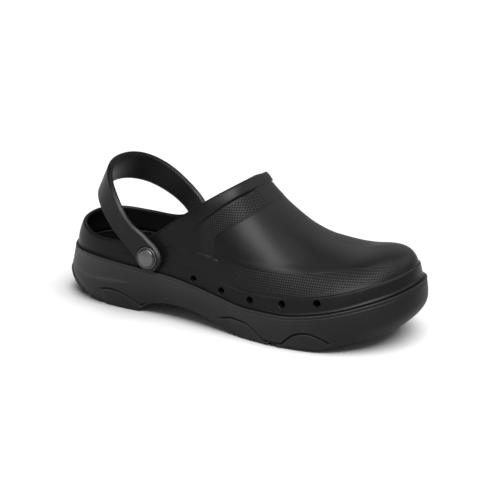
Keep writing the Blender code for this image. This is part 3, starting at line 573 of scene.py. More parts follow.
# Rows as parts of the way up each column, following crease, waist and collar band
def upperRows(side):
    u = upperForm
    count, limit, half = u["rows"], u["rowLimits"], u["rowHalf"]
    way = np.linspace(0, 1, fine["rows"])
    grid = upperSheet(side, leaningShare(way[:, None]), way[:, None] * rimAngles[side])
    run = np.zeros(grid.shape[:2])
    run[1:] = np.cumsum(np.linalg.norm(np.diff(grid, axis=0), axis=2), axis=0)
    under, crease, waist = belowBand(grid), overCrease(side, way[:, None], grid)[0], overWaist(grid)
    rows = []
    for i in range(len(feet)):
        top = run[-1, i]
        fold = min(np.interp(0, crease[:, i], run[:, i]), limit["fold"] * top)
        least = fold + 2 * half + u["rowGap"]
        wing = np.clip(np.interp(0, waist[:, i], run[:, i]), least, max(limit["waist"] * top, least))
        ends = [0, fold - half, fold + half, wing - half, wing + half]
        counts = [count[name] for name in ("foot", "fold", "side", "waist")]
        parts = [stretch(a, b, n) for a, b, n in zip(ends, ends[1:], counts)]
        low, length = ends[-1], top - ends[-1]
        if under[-1, i] < limit["open"]:
            band = max(np.interp(0, -under[:, i], run[:, i]), limit["band"] * top)
            band = min(band, top - limit["room"] * half)
            rim = max(top - limit["rim"] * u["rimRound"], (band + half + top) / 2)
            marks = np.concatenate([
                stretch(low, band - half, count["wall"]), stretch(band - half, band + half, count["band"]),
                stretch(band + half, rim, count["collar"]),
                rim + (top - rim) * np.sin(stretch(0, np.pi / 2, count["rim"]))])
            pattern, bandEnd = (marks - low) / length, feet[i]
        else:
            spread = ease(feet[i] - bandEnd, 0, u["frontBlend"])
            marks = low + length * blend(pattern, stretch(0, 1, len(pattern)), spread)
        rows.append(np.interp(np.concatenate([[0], *parts, marks]), run[:, i], way))
    return np.array(rows).T


# Outward normals, the cross product of both slopes, shared along the ridge and at heel and toe
def sheetNormals(sheets):
    normals = {}
    for side in sides:
        normal = np.cross(np.gradient(sheets[side], axis=1), np.gradient(sheets[side], axis=0)) * -side
        length = np.linalg.norm(normal, axis=2)[..., None]
        normals[side] = normal / np.where(length > 0, length, 1)
    ridge = ridgeStation(tops)
    rise = curve(last["spine"], "height", ridge + tiny) - curve(last["spine"], "height", ridge - tiny)
    slope = last["instep"] * rise / (2 * tiny * last["length"])
    top = unit(np.stack([-slope, 0 * slope, 1 + 0 * slope], axis=1))
    for side in sides:
        normals[side][-1, onRidge] = top[onRidge]
    for edge in (0, -1):
        normals[-1][:, edge] = normals[1][:, edge] = unit(normals[-1][:, edge] + normals[1][:, edge])
    return normals


# Distance in from the edge of the smooth patch: the soft least to collar, rear end and waist
def patchGap(grid, closed=True):
    p = upperForm["patch"]
    gaps = [belowCollar(grid) - p["below"], grid[..., 0] - p["rear"]]
    return softLeast([*gaps, overWaist(grid)] if closed else gaps, p["round"])


# What stands off the base surface, a sum less the round of the rim, and that round, a quarter circle
def upperRelief(side, way, grid):
    u = upperForm
    crease, low, station = overCrease(side, way, grid)
    along, over = stationOf(grid), grid[..., 2] - low
    depth, under = belowEdge(grid), belowBand(grid)
    half, straight = u["ventStep"]
    ledge = np.clip(0.5 - crease / (2 * half), 0, 1)
    vent = curve(u["foot"], "step", station) * blend(ease(ledge, 0, 1), ledge, straight)
    share = np.clip(1 - over / curve(u["foot"], "width", station), 0, 1)
    flare = curve(u["foot"], "flare", station) * share ** u["flarePower"]
    b = u["band"]
    near, far, least = b["front"]
    front = least + (1 - least) * ease(fromRidge(grid), near, far)
    fade = ease(along, *b["fade"]) * front
    groove, middle, width = b["groove"]
    collar = b["step"] * (1 - ease(under, *b["run"])) - groove * hump(under, middle, width)
    crown = b["crown"] * np.sin(np.pi * np.clip(depth / np.maximum(depth - under, 1), 0, 1))
    overWing = grid[..., 2] - curve(u["wing"], "height", along)
    wing = curve(u["wing"], "rise", along) * hump(overWing, 0, u["wingHalf"])
    p = u["patch"]
    inPatch = ease(patchGap(grid), *p["edge"]) * ease(overWaist(grid), *p["fade"])
    beadTop, beadRun = u["footBead"]
    bead = curve(u["foot"], "bead", station) * hump(np.maximum(over, beadTop), beadTop, beadRun)
    inRim = u["rimRound"] - np.clip(depth, 0, u["rimRound"])
    rounded = u["rimRound"] - np.sqrt(u["rimRound"] ** 2 - inRim ** 2)
    relief = vent + flare + fade * (collar + crown) + wing - p["drop"] * inPatch + bead
    return relief - rounded, rounded


# Where the upper has pits, round the patch and above the vent band: a product of smooth steps
def embossMask(side, way, grid):
    e, s = upperForm["emboss"], grid[..., 0]
    mask = (1 - ease(patchGap(grid), *e["patch"])) * ease(overCrease(side, way, grid)[0], *e["crease"])
    mask = mask * ease(belowBand(grid), *e["band"]) * ease(s, *e["rear"]) * (1 - ease(s, *e["front"]))
    mask = mask * ease(fromRidge(grid), *e["ridge"])
    return mask * (1 - (1 - ease(overWaist(grid), *e["waist"])) * (1 - ease(s, *e["wing"])))


# Base surface plus relief outside and less the wall inside, closed round the rim, then drilled
def makeUpper():
    u = upperForm
    ways = {side: upperRows(side) for side in sides}
    sheets = {s: upperSheet(s, leaningShare(ways[s]), ways[s] * rimAngles[s]) for s in sides}
    normals = sheetNormals(sheets)
    rows, rim, step = len(ways[-1]), u["rows"]["rim"], u["insideStep"]
    # the inside has all rows of the rim and every few below them
    kept = np.r_[np.arange(rows - 1, rows - 1 - rim, -1), np.arange(rows - rim - 3, step - 1, -step), 0]
    around = np.r_[np.arange(rows), kept, 0]
    outer = np.r_[np.ones(rows), np.zeros(len(kept)), 1][:, None]
    halves, emboss, gap, line = {}, {}, {}, {}
    for side in sides:
        grid, way = sheets[side], ways[side]
        relief, rounded = upperRelief(side, way, grid)
        outside = grid + normals[side] * relief[..., None]
        inside = grid - normals[side] * (u["wall"] - rounded)[..., None]
        outside[0, :, 2] = inside[0, :, 2] = grid[0, :, 2]
        halves[side] = np.concatenate([outside, inside[kept], outside[:1]])
        emboss[side] = embossMask(side, way, grid)[around] * outer
        gap[side] = patchGap(grid, closed=False)[around]
        fade = u["patch"]["line"]
        line[side] = (ease(overWaist(grid), *fade) * ease(fromRidge(grid), *fade))[around] * outer
    skip = np.zeros((len(around) - 1, len(feet) - 1), bool)
    skip[rows - 1] = onRidge[:-1]
    mesh = pairedMesh("upper", halves, skip, {"emboss": emboss, "patchGap": gap, "patchLine": line})
    piece = addPiece("upperShell", mesh, "upper", "upper_foam")
    cutters = []
    for side in sides:
        for station, height in u["vents"]:
            share = shareAt(side, station)
            centre = np.append(lipPoint(side, share, curve(u["foot"], "inset", station)), height)
            outward = np.append(-readHalf(side, share, "inward"), 0)
            vent = tube(u["ventRadius"], -u["ventReach"], u["ventReach"])
            cutters.append(turnedMesh("vent", vent, outward, centre, u["holeSteps"]))
        hole = tube(u["rivetHole"], *u["rivetReach"])
        cutters.append(turnedMesh("rivetHole", hole, *rivetAxis(side), u["holeSteps"]))
    carve(piece, cutters)
    return piece


# Sole: lip, side with recessed panels, rocker and tread grooves, and a tray for the footbed
soleForm = {
    "panels": {
        "station": [0, 0.02, 0.035, 0.05, 0.065, 0.085, 0.136, 0.156, 0.184, 0.208, 0.235, 0.262, 0.28,
                    0.3, 0.49, 0.527, 0.56, 0.597, 0.625, 0.648, 0.668, 0.695, 0.713, 0.729, 0.747,
                    0.767, 0.791, 0.813, 0.835, 1],
        "height": [21.5, 20.5, 15.5, 9.5, 5.5, 4, 12.6, 14, 15.8, 15.2, 12.4, 8.2, 5.4, 9, 9,
                   12.2, 14.4, 13.4, 9.2, 4.5, 2.4, 2.4, 6.9, 11.1, 13.5, 14.3, 12.9, 10, 6.6, 22],
        "depth": [-1.9, -1.9, -1.8, -1.2, -0.5, 0, 0, 0.4, 0.8, 0.8, 0.8, 0.8, 0.5, 0, 0,
                  0.4, 0.8, 0.8, 0.8, 0.8, 0.4, 0.4, 0.8, 0.8, 0.8, 0.8, 0.8, 0.7, 0, 0],
        "room": (2.4, 4),  # least below and above
        "run": 1.6, "step": 0.7,
        "groove": (1.8, -0.45, 0.6),  # depth, height against the edge, half width
        "grooveFade": (0.2, 0.5),  # depths of a panel at which it begins
        "stand": 0.45,  # share of the turn that panels leave out
        "standFade": (0.2, 0.7), "standRun": (-2.5, 0),
    },
    "turnShare": 0.55,
    "rimLift": {  # lower edge of the side over the tread at the forefoot
        "station": [0, 0.52, 0.6, 0.68, 0.75, 0.82, 0.88, 0.93, 1],
        "lift": [0, 0, 1, 1.2, 2, 2.2, 1.2, 0, 0],
    },
    "rimRun": 4.5,  # breadth of its round to the tread
    "rimPower": 1.5,
    "heelStep": {
        "station": [0, 0.052, 0.085, 0.115, 0.169, 0.3, 1],
        "height": [25.6, 25.3, 23.5, 21.7, 23, 24, 24],
        "rise": 0.45, "run": (-1.6, 1.2), "fade": (55, 85), "foot": (0.1, 0.4),
    },
    "heelTuck": {"station": [0, 0.02, 0.07, 0.12, 1], "inset": [1.1, 0.9, 0.3, 0, 0]},
    "tuckRise": (0.35, 1), "tuckEnd": (2, 6),
    # lip from its outer edge in: inset and rise, with the bead
    "lip": [(0, -1.8), (-0.2, -1.3), (-0.33, -0.9), (-0.36, -0.5), (-0.3, -0.1), (-0.14, 0.28),
            (0.12, 0.58), (0.45, 0.76), (0.78, 0.76), (1.05, 0.68), (1.25, 0.62), (1.5, 0.6),
            (1.9, 0.64), (2.4, 0.72)],
    "lipGap": 0.2,
    "tray": {"station": [0, 0.16, 0.3, 1], "inset": [5, 5, 6.9, 6.9]},
    "cup": (3, 3),  # rise at the edge of the tray and its power
    "columns": 300,
    "rows": {"tread": 12, "round": 4, "foot": 12, "panel": 16, "side": 28, "bed": 8},
    # tread grooves: station, width, half length and slant
    "grooves": [(0.15, 5, 22, 0), (0.195, 5, 24, 0), (0.238, 5, 24, 0), (0.625, 4.5, 33, 0.1),
                (0.679, 7, 80, 0), (0.728, 4.5, 36, 0.08), (0.765, 4.5, 35, 0.08)],
    "grooveDepth": 2.4,
}


# Plan points from the ridge's line out to an inset of the lip
def fanOut(side, share, inset, spread):
    centre = ridgePoint(share)
    return centre + (lipPoint(side, share, inset) - centre) * np.asarray(spread)[..., None]


# Floor of the tray, rising to its edge by a power of the spread
def floorHeight(plan, spread):
    rise, power = soleForm["cup"]
    return level("floor", stationOf(plan)) + rise * spread ** power


# Station, and heights of lip, bottom, side's lower edge and panel
def soleLevels(side, share):
    f = soleForm
    station = lipStation(side, share)
    lip, bottom = level("lip", station), level("bottom", station)
    rim = bottom + curve(f["rimLift"], "lift", station)
    over, under = f["panels"]["room"]
    return station, lip, bottom, rim, np.clip(curve(f["panels"], "height", station), rim + over, lip - under)


# Side: the inset is a square turn to the tread, less a sine's bulge, with panels and grooves let in
def soleSide(side, share, height):
    f, p = soleForm, soleForm["panels"]
    station, lip, bottom, _, panel = soleLevels(side, share)
    part, overPanel = (height - bottom) / (lip - bottom), height - panel
    depth = curve(p, "depth", station)
    onPanel = ease(np.abs(depth), *p["standFade"]) * (1 - ease(overPanel, *p["standRun"]))
    turned = level("turn", station) * np.clip(1 - part / f["turnShare"], 0, 1) ** 2
    turned = np.where(turned > 0, turned * (1 - p["stand"] * onPanel), turned)
    bulge = level("bulge", station) * np.sin(np.pi * np.clip(part, 0, 1))
    groove, offset, half = p["groove"]
    letIn = depth * (1 - ease(overPanel, -p["step"], p["step"]))
    letIn = letIn + groove * ease(np.abs(depth), *p["grooveFade"]) * hump(overPanel, offset, half)
    h = f["heelStep"]
    overStep = height - curve(h, "height", station)
    fade = 1 - ease(station * last["length"], *h["fade"])
    step = h["rise"] * fade * (1 - ease(overStep, *h["run"])) * ease(part, *h["foot"])
    tuck = curve(f["heelTuck"], "inset", station) * ease(part, *f["tuckRise"])
    return atHeight(lipPoint(side, share, turned - bulge + letIn - step + tuck), height)


# One grid on each side, from the middle of the tread up the side, over the lip and into the tray
def makeSole():
    f, count = soleForm, soleForm["rows"]
    share = np.linspace(0, 1, f["columns"])
    halves = {}
    for side in sides:
        station, lip, bottom, rim, panel = soleLevels(side, share)
        edge, centre = soleSide(side, share, rim)[:, :2], ridgePoint(share)
        inward = readHalf(side, share, "inward") * f["rimRun"]
        # tread, the round at its edge, side, lip and tray
        plan = centre + (edge + inward - centre) * np.linspace(0, 1, count["tread"] + 1)[:, None, None]
        parts = [atHeight(plan, level("bottom", stationOf(plan)))]
        out = stretch(0, 1, count["round"])[:, None]
        plan = edge + inward * (1 - out[..., None])
        lift = (rim - bottom) * out ** f["rimPower"]
        parts.append(atHeight(plan, blend(level("bottom", stationOf(plan)), bottom, out) + lift))
        run = f["panels"]["run"]
        marks = [rim, panel - run, panel + run, lip + f["lip"][0][1] - f["lipGap"]]
        for low, high, name in zip(marks, marks[1:], ("foot", "panel", "side")):
            parts.append(soleSide(side, share, low + (high - low) * stretch(0, 1, count[name])[:, None]))
        inset, rise = np.array(f["lip"]).T[..., None]
        tuck = curve(f["heelTuck"], "inset", station) * (1 - ease(inset, *f["tuckEnd"]))
        parts.append(atHeight(lipPoint(side, share, inset + tuck), lip + rise))
        tray = curve(f["tray"], "inset", station)
        parts.append(atHeight(lipPoint(side, share, tray), lip + f["lip"][-1][1])[None])
        spread = np.linspace(1, 0, count["bed"] + 1)[:, None]
        plan = fanOut(side, share, tray, spread)
        parts.append(atHeight(plan, floorHeight(plan, spread)))
        halves[side] = np.concatenate(parts)
    piece = addPiece("soleUnit", pairedMesh("sole", halves), "sole", "sole_foam")
    cutters = []
    for station, width, reach, slant in f["grooves"]:
        cube = bmesh.new()
        shear = Matrix.Identity(4)
        shear[0][1] = slant
        size = Matrix.Diagonal((width * mm, 2 * reach * mm, 2 * f["grooveDepth"] * mm, 1))
        place = Matrix.Translation(Vector(inFrame([station * last["length"], 0, 0])))
        bmesh.ops.create_cube(cube, size=1, matrix=place @ shear @ size)
        cutters.append(bpy.data.meshes.new("groove"))
        cube.to_mesh(cutters[-1])
        cube.free()
    carve(piece, cutters)
    return piece


# Footbed lying in the tray, cupped at its edge
footbedForm = {
    "clear": 0.35, "gap": 0.3, "thick": 4,
    "heelCup": (3, 0.16, 0.3),  # rise, and the stations between which it ends
    "cupPower": 6, "edge": 1.2, "edgeRows": 6, "columns": 150, "rows": 14,
}


# One grid on each side: the tray's floor and a gap, a round edge, and the top with its cup
def makeFootbed():
    b = footbedForm
    share = np.linspace(0, 1, b["columns"])
    halves = {}
    for side in sides:
        station = lipStation(side, share)
        inset = curve(soleForm["tray"], "inset", station) + b["clear"]
        rise, start, end = b["heelCup"]
        cup = rise * (1 - ease(station, start, end))
        spread = np.linspace(0, 1, b["rows"] + 1)[:, None]
        plan = fanOut(side, share, inset, spread)
        below = atHeight(plan, floorHeight(plan, spread) + b["gap"])
        turn = np.linspace(0, np.pi / 2, b["edgeRows"])[:, None]
        rim = floorHeight(fanOut(side, share, inset, 1.0), 1.0) + b["thick"] + cup
        plan = fanOut(side, share, inset + b["edge"] * (1 - np.cos(turn)), 1.0)
        edge = atHeight(plan, rim - b["edge"] * (1 - np.sin(turn)))
        spread = stretch(1, 0, b["rows"])[:, None]
        plan = fanOut(side, share, inset, spread)
        above = atHeight(plan, floorHeight(plan, spread) + b["thick"] + cup * spread ** b["cupPower"])
        halves[side] = np.concatenate([below, edge, above])
    return addPiece("footbed", pairedMesh("insole", halves), "insole", "footbed_foam")


# A bevelled section carried along the strap's line, its half width swelling to a circle at the eyes
def makeStrap():
    s = strapForm
    run = strapLine(np.zeros(1))[1]
    eye = s["eye"] / run
    roundEnd = eye * (1 - np.cos(np.linspace(np.radians(s["endAngle"]), np.pi / 2, s["endSteps"])))
    arm = np.concatenate([roundEnd, np.linspace(eye, 0.5, s["steps"] // 2)[1:]])
    at = np.concatenate([arm, 1 - arm[-2::-1]])
    points, outward, across, reach = strapFrame(at)
    fromEye = np.minimum(at, 1 - at) * run - s["eye"]
    eyeHalf = np.sqrt(np.maximum(s["eye"] ** 2 - fromEye ** 2, 0))
    bandHalf = (s["width"] + s["widen"] * (reach / s["end"][0]) ** 2) / 2
    for middle, spread, gain in (s["root"], s["neck"]):
        bandHalf = bandHalf + gain * hump(reach, middle, spread) * (at < 0.5)
    blended = (eyeHalf + bandHalf + np.hypot(eyeHalf - bandHalf, s["eyeBlend"])) / 2
    wide = np.where(fromEye < 0, eyeHalf, np.minimum(blended, np.maximum(s["eye"], bandHalf)))
    thick = blend(s["eyeThick"], s["thick"], ease(fromEye, *s["eyeTaper"])) / 2
    # a quarter of the section: face, round, bevel, round, edge
    bevel = np.minimum(s["bevel"], wide / 2)
    soft = np.minimum(s["bevelRound"], bevel / 4)
    face, edge, sag = wide - bevel, thick - bevel, s["bevelSag"] * soft
    quarter = [(face - 3 * soft, thick), (face - soft, thick), (face, thick - sag),
               (face + soft, thick - soft), (wide - soft, edge + soft), (wide - sag, edge),
               (wide, edge - soft)]
    quarter = [(np.maximum(a, 0), np.maximum(b, 0)) for a, b in quarter]
    flats = [(quarter[0][0] * k, thick) for k in s["faceMarks"]]
    section = [(-a, b) for a, b in quarter[::-1]] + flats + quarter
    section += [(-a, -b) for a, b in section]
    grid = np.stack([points + a[:, None] * across + b[:, None] * outward for a, b in section], axis=1)
    count, around = grid.shape[:2]
    ends = [list(range(around)), list(range((count - 1) * around, count * around))]
    mesh = rawMesh("strap", inFrame(grid), ringFaces(count, around) + ends, {})
    piece = addPiece("heelStrap", cleaned(mesh, merge["swept"]), "strap", "strap_foam", sharpFrom)
    top = s["eyeThick"] / 2  # the wells reach well past both faces
    seat, hole, pocket = top - s["counterbore"], upperForm["rivetHole"], s["pocket"]
    out, below, above = s["pocketBevel"]
    well = [(0, -2 * top), (hole, -2 * top), (hole, seat), (pocket, seat), (pocket, top - below),
            (pocket + out, top + above), (pocket + out, 3 * top), (0, 3 * top)]
    carve(piece, [turnedMesh("eyeWell", well, *rivetAxis(side), s["wellSteps"]) for side in sides])
    piece.data.set_sharp_from_angle(angle=np.radians(sharpFrom))
    return piece


# Rivets with a washer inside the shoe, and domed inserts with a plain ring
rivetForm = {
    "gap": 0.3, "shank": 3, "button": 8.4, "height": 1.9,
    "edge": (0.5, 6),  # radius and points of the button's rounded edge
    "pocket": 0.8, "pocketBevel": 0.15, "badge": 7, "dome": 1.598, "domeSteps": 40,
    "ring": (6, 0.4, 0.2),  # radius, half width and rise of the insert's ring
    "washer": 6.5, "washerThick": 1.6, "washerGap": 0.7, "washerBevel": 1.5,
}


# Profiles turned about the axes. The dome falls by the square of the radius, and a bell is its ring
def makeRivets():
    r = rivetForm
    seat = strapForm["eyeThick"] / 2 - strapForm["counterbore"] + r["gap"]
    top = seat + r["height"]
    pocket, rim, bevel = top - r["pocket"], r["badge"] + r["gap"], r["pocketBevel"]
    rounding, count = r["edge"]
    bend = np.linspace(0, np.pi / 2, count)
    crown = [(r["button"] - rounding * (1 - np.sin(b)), top - rounding * (1 - np.cos(b))) for b in bend]
    base = pocket + r["gap"]
    radius = np.linspace(0, 1, r["domeSteps"])
    ring = r["ring"][2] * hump(radius * r["badge"], *r["ring"][:2])
    dome = np.stack([radius * r["badge"], base + r["pocket"] + r["dome"] * (1 - radius ** 2) + ring], axis=1)
    insert = np.vstack([dome, [(r["badge"], base), (0, base)]])
    angle = np.linspace(0, np.pi / 2, fine["wall"])
    fromAxis = {"fromAxis": insert[:, 0] / r["badge"]}
    made = {"rivet": [], "badge": []}
    for side, name in zip(sides, ("lateral", "medial")):
        axis, centre = rivetAxis(side)
        share = shareAt(side, strapForm["rivet"][0])
        profile = upperSheet(side, np.full_like(angle, share), angle)
        wall = abs(centre[1] - np.interp(centre[2], profile[:, 2], profile[:, 1])) + upperForm["wall"]
        washer = -(wall + r["washerGap"])
        end = washer - r["washerThick"]
        body = [(0, pocket), (rim, pocket), (rim, top - bevel), (rim + bevel, top), *crown,
                (r["button"], seat), (r["shank"], seat), (r["shank"], washer), (r["washer"], washer),
                (r["washer"], washer - r["washerThick"] / 2), (r["washer"] - r["washerBevel"], end), (0, end)]
        for kind, shape, values in (("rivet", body, None), ("badge", insert, fromAxis)):
            mesh = turnedMesh(kind, shape, axis, centre, values=values)
            piece = addPiece(kind + name.title(), mesh, kind + "_" + name, kind + "_plastic", sharpFrom)
            made[kind].append(piece)
    return made


upperPiece = makeUpper()
solePiece = makeSole()
footbedPiece = makeFootbed()
strapPiece = makeStrap()
rivetPieces = makeRivets()
print("pieces: made")


# One socket of a node tree, so that shader maths reads as plain sums
class Wire:
    def __init__(self, paint, socket):
        self.paint, self.socket = paint, socket

    def __add__(self, other):
        return self.paint.maths("ADD", self, other)

    def __sub__(self, other):
        return self.paint.maths("SUBTRACT", self, other)

    def __rsub__(self, other):
        return self.paint.maths("SUBTRACT", other, self)

    def __mul__(self, other):
        return self.paint.maths("MULTIPLY", self, other)

    def __pow__(self, other):
        return self.paint.maths("POWER", self, other)

    __radd__, __rmul__ = __add__, __mul__


# A material with one shader
class Paint:
    def __init__(self, name, shader):
        self.material = bpy.data.materials.new(name)
        self.material.use_nodes = True
        self.tree = self.material.node_tree
        self.shader = self.tree.nodes["Principled BSDF"]
        self.put(shader)

    def feed(self, node, inputs):
        for key, value in inputs.items():
            if isinstance(value, Wire):
                self.tree.links.new(value.socket, node.inputs[key])
            else:
                node.inputs[key].default_value = value

    def put(self, inputs):
        self.feed(self.shader, inputs)

    def add(self, kind, settings, inputs, output):
        node = self.tree.nodes.new(kind)
        for key, value in settings.items():
            setattr(node, key, value)
        self.feed(node, inputs)
        return Wire(self, node.outputs[output])

    def maths(self, operation, a, b=0.0):
        return self.add("ShaderNodeMath", {"operation": operation}, {0: a, 1: b}, "Value")

    def place(self):
        return self.add("ShaderNodeTexCoord", {}, {}, "Object")

    def noise(self, scale, detail, roughness=0.5):
        return self.add("ShaderNodeTexNoise", {}, {
            "Vector": self.place(), "Scale": scale, "Detail": detail, "Roughness": roughness}, "Fac")

    def value(self, name):
        return self.add("ShaderNodeAttribute", {"attribute_name": name}, {}, "Fac")

    def mix(self, factor, a, b):
        return self.add("ShaderNodeMix", {"data_type": "RGBA"}, {
            "Factor": factor, 6: (*a, 1.0), 7: (*b, 1.0)}, 2)

    def ramp(self, value, low, high, to=(0.0, 1.0)):
        return self.add("ShaderNodeMapRange", {"interpolation_type": "SMOOTHSTEP"}, {
            "Value": value, "From Min": low, "From Max": high, "To Min": to[0], "To Max": to[1]}, "Result")

    def bump(self, height):  # in mm
        inputs = {"Height": height, "Distance": mm, "Strength": 1.0}
        self.put({"Normal": self.add("ShaderNodeBump", {}, inputs, "Normal")})

    def wear(self, pieces):
        for piece in pieces:
            piece.data.materials.clear()
            piece.data.materials.append(self.material)


# Moulded foam: near black, with a soft cloud in tone and gloss and a fine grain
foamLook = {
    "dark": (0.0018, 0.0018, 0.0019), "light": (0.003, 0.003, 0.0031),
    "cloud": (38, 3),  # scale and detail
    "grain": (900, 2, 0.6), "grainShare": 0.3, "range": (0.3, 0.7), "grainHeight": 0.06,
    "roughCloud": 0.08, "roughGrain": 0.05,
}


# Tone from dark to light by a sum of cloud and grain
def foamPaint(name, tone, ior, shine=0.5):
    f = foamLook
    paint = Paint(name, {"IOR": ior, "Specular IOR Level": shine})
    cloud, speck = paint.noise(*f["cloud"]), paint.noise(*f["grain"])
    dark, light = [tuple(c * tone for c in f[key]) for key in ("dark", "light")]
    share = cloud * (1 - f["grainShare"]) + speck * f["grainShare"]
    paint.put({"Base Color": paint.mix(paint.ramp(share, *f["range"]), dark, light)})
    return paint, cloud, speck


# Upper: a grid of pits, seen square from the side, and a fine line round the patch
embossLook = {
    "pitch": 0.00165, "depth": 0.42,
    "power": 1.5,  # a higher one makes the pits narrower
    "line": (0.1, 0.85, 0.35),  # flat and full half width of the line, and its depth
    "rough": 0.36, "roughCloud": 0.06, "roughPits": 0.45, "gloss": 0.07, "glossRough": 0.3,
}


# Pits are a power of two summed cosines
def paintUpper():
    f = embossLook
    paint, cloud, speck = foamPaint("upperFoam", tone=1.0, ior=1.235)
    along = paint.add("ShaderNodeSeparateXYZ", {}, {"Vector": paint.place()}, "X")
    upward = Wire(paint, along.socket.node.outputs["Z"])
    turn = 2 * np.pi / f["pitch"]
    mask = paint.value("emboss")
    waves = paint.maths("COSINE", along * turn) + paint.maths("COSINE", upward * turn)
    pits = (waves * 0.25 + 0.5) ** f["power"]
    flat, full, depth = f["line"]
    away = paint.maths("ABSOLUTE", paint.value("patchGap"))
    line = paint.ramp(away, flat, full, (1.0, 0.0)) * paint.value("patchLine")
    paint.bump(speck * foamLook["grainHeight"] - pits * mask * f["depth"] - line * depth)
    rough = f["rough"] + cloud * f["roughCloud"] + speck * foamLook["roughGrain"]
    rough = rough + mask * pits * f["roughPits"]
    gloss = mask * (1 - pits) ** 2 * f["gloss"]
    paint.put({"Roughness": rough, "Coat Weight": gloss, "Coat Roughness": f["glossRough"]})
    paint.wear([upperPiece])


# Foam without pits
def paintFoam(name, piece, tone, ior, rough, grain=foamLook["grainHeight"], shine=0.5):
    f = foamLook
    paint, cloud, speck = foamPaint(name, tone, ior, shine)
    paint.bump(speck * grain)
    paint.put({"Roughness": cloud * f["roughCloud"] + speck * f["roughGrain"] + rough})
    paint.wear([piece])


# Rivets in dark plastic, and inserts with a grey disc in a darker glossy border
plasticLook = {
    "cloud": (260, 3), "range": (0.3, 0.7), "coatRough": 0.12,
    "rivet": ((0.012, 0.012, 0.0125), (0.018, 0.018, 0.0185)),
    "badge": ((0.036, 0.037, 0.039), (0.005, 0.005, 0.005)),
    "border": (0.8, 0.88, 0.02),  # shares of the radius, and their waver
}


# Coated plastic with a cloud in its gloss
def plasticPaint(name, coat, ior, rough, roughCloud):
    p = plasticLook
    paint = Paint(name, {"Coat Weight": coat, "Coat Roughness": p["coatRough"], "IOR": ior})
    cloud = paint.noise(*p["cloud"])
    paint.put({"Roughness": cloud * roughCloud + rough})
    return paint, cloud


# The border follows the distance from the insert's axis
def paintRivets():
    p = plasticLook
    paint, cloud = plasticPaint("rivetPlastic", coat=0.2, ior=1.48, rough=0.3, roughCloud=0.08)
    paint.put({"Base Color": paint.mix(paint.ramp(cloud, *p["range"]), *p["rivet"])})
    paint.wear(rivetPieces["rivet"])
    paint, cloud = plasticPaint("badgePlastic", coat=0.35, ior=1.45, rough=0.22, roughCloud=0.12)
    start, end, waver = p["border"]
    border = paint.ramp(paint.value("fromAxis") + cloud * waver, start, end)
    paint.put({"Base Color": paint.mix(border, *p["badge"])})
    paint.wear(rivetPieces["badge"])


paintUpper()
paintFoam("soleFoam", solePiece, tone=1.3, ior=1.262, rough=0.44)
paintFoam("footbedFoam", footbedPiece, tone=0.9, ior=1.03, rough=0.8, grain=0.12, shine=0.0)
paintFoam("strapFoam", strapPiece, tone=1.0, ior=1.26, rough=0.36)
paintRivets()
print("finishes: made")


# Studio: a white floor under a broad sun, a dim sky, and softboxes on the shoe
studio = {
    "floor": {"half": 4, "tone": 0.9, "rough": 0.9, "shine": 0.1},
    "sky": 0.22, "target": (0.007826, 0.001451, 0.0483),
    "camera": (26.03, 19.28, 0.9),  # azimuth, elevation, distance
    "lens": 87.01, "sensor": 36, "clip": (0.05, 50),
    # softboxes: what they fall on, azimuth, elevation and distance, size across and up, power
    "softboxes": {
        "keyBroad": ("shoe", (12, 44, 1.3), (1.9, 0.9), 22),
        "keyCore": ("shoe", (26, 46, 1.3), (1, 0.65), 24),
        "ceiling": ("shoe", (90, 76, 1.5), (1.2, 1.2), 11),
        "sideStrip": ("body", (112, 36, 1.3), (1.2, 0.7), 6.2),
        "backFill": ("body", (182, 32, 2), (3.6, 1.6), 12.5),
        "strapStrip": ("strap", (43, 22, 1.2), (0.4, 0.9), 10),
        "soleCard": ("sole", (-60, 5, 1.2), (2.2, 0.5), 21),
    },
    "floorSun": ((72, 71, 2), 55, 3.55),  # place as above, breadth in degrees, strength
}


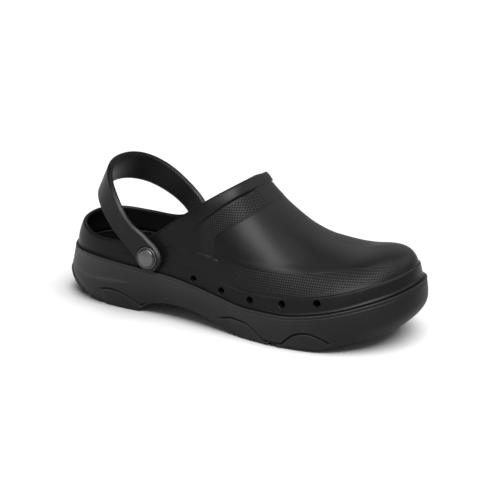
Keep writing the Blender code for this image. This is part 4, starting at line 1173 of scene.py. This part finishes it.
# Camera or light that looks at the target. Azimuth 0 is square to the lateral side, 90 before the toe
def aim(name, data, azimuth, elevation, distance):
    az, el = np.radians(azimuth), np.radians(elevation)
    away = Vector((np.sin(az) * np.cos(el), -np.cos(az) * np.cos(el), np.sin(el)))
    thing = addObject(name, data)
    thing.location = Vector(studio["target"]) + away * distance
    thing.rotation_euler = (-away).to_track_quat("-Z", "Y").to_euler()
    return thing


# A flat square under the shoe
def makeFloor():
    f = studio["floor"]
    h, tone = f["half"], f["tone"]
    mesh = bpy.data.meshes.new("floor")
    mesh.from_pydata([(-h, -h, 0), (h, -h, 0), (h, h, 0), (-h, h, 0)], [], [(0, 1, 2, 3)])
    floor = addObject("floor", mesh)
    look = {"Base Color": (tone, tone, tone, 1.0), "Roughness": f["rough"], "Specular IOR Level": f["shine"]}
    Paint("floorWhite", look).wear([floor])
    return floor


# A sky on everything, and lights that each fall on one group of pieces
def makeLights(floor):
    s = studio
    world = bpy.data.worlds.new("studio")
    world.use_nodes = True
    sky = world.node_tree.nodes["Background"]
    sky.inputs["Color"].default_value, sky.inputs["Strength"].default_value = (1, 1, 1, 1), s["sky"]
    bpy.context.scene.world = world
    body = [upperPiece, solePiece, footbedPiece, *rivetPieces["rivet"], *rivetPieces["badge"]]
    groups = {"shoe": [*body, strapPiece], "body": body, "strap": [strapPiece], "sole": [solePiece],
              "floor": [floor]}
    for name, pieces in groups.items():
        groups[name] = bpy.data.collections.new(name + "Only")
        for piece in pieces:
            groups[name].objects.link(piece)
    for name, (group, place, size, power) in s["softboxes"].items():
        lamp = bpy.data.lights.new(name, "AREA")
        lamp.shape, lamp.size, lamp.size_y, lamp.energy = "RECTANGLE", *size, power
        aim(name, lamp, *place).light_linking.receiver_collection = groups[group]
    place, breadth, strength = s["floorSun"]
    lamp = bpy.data.lights.new("floorSun", "SUN")
    lamp.energy, lamp.angle = strength, np.radians(breadth)
    aim("floorSun", lamp, *place).light_linking.receiver_collection = groups["floor"]


# Camera fitted to the photo
def makeCamera():
    s = studio
    data = bpy.data.cameras.new("photoCamera")
    data.sensor_width, data.sensor_fit, data.lens = s["sensor"], "HORIZONTAL", s["lens"]
    data.clip_start, data.clip_end = s["clip"]
    bpy.context.scene.camera = aim("photoCamera", data, *s["camera"])


makeLights(makeFloor())
makeCamera()
bpy.context.scene.view_settings.view_transform = "Standard"
print("studio: made")
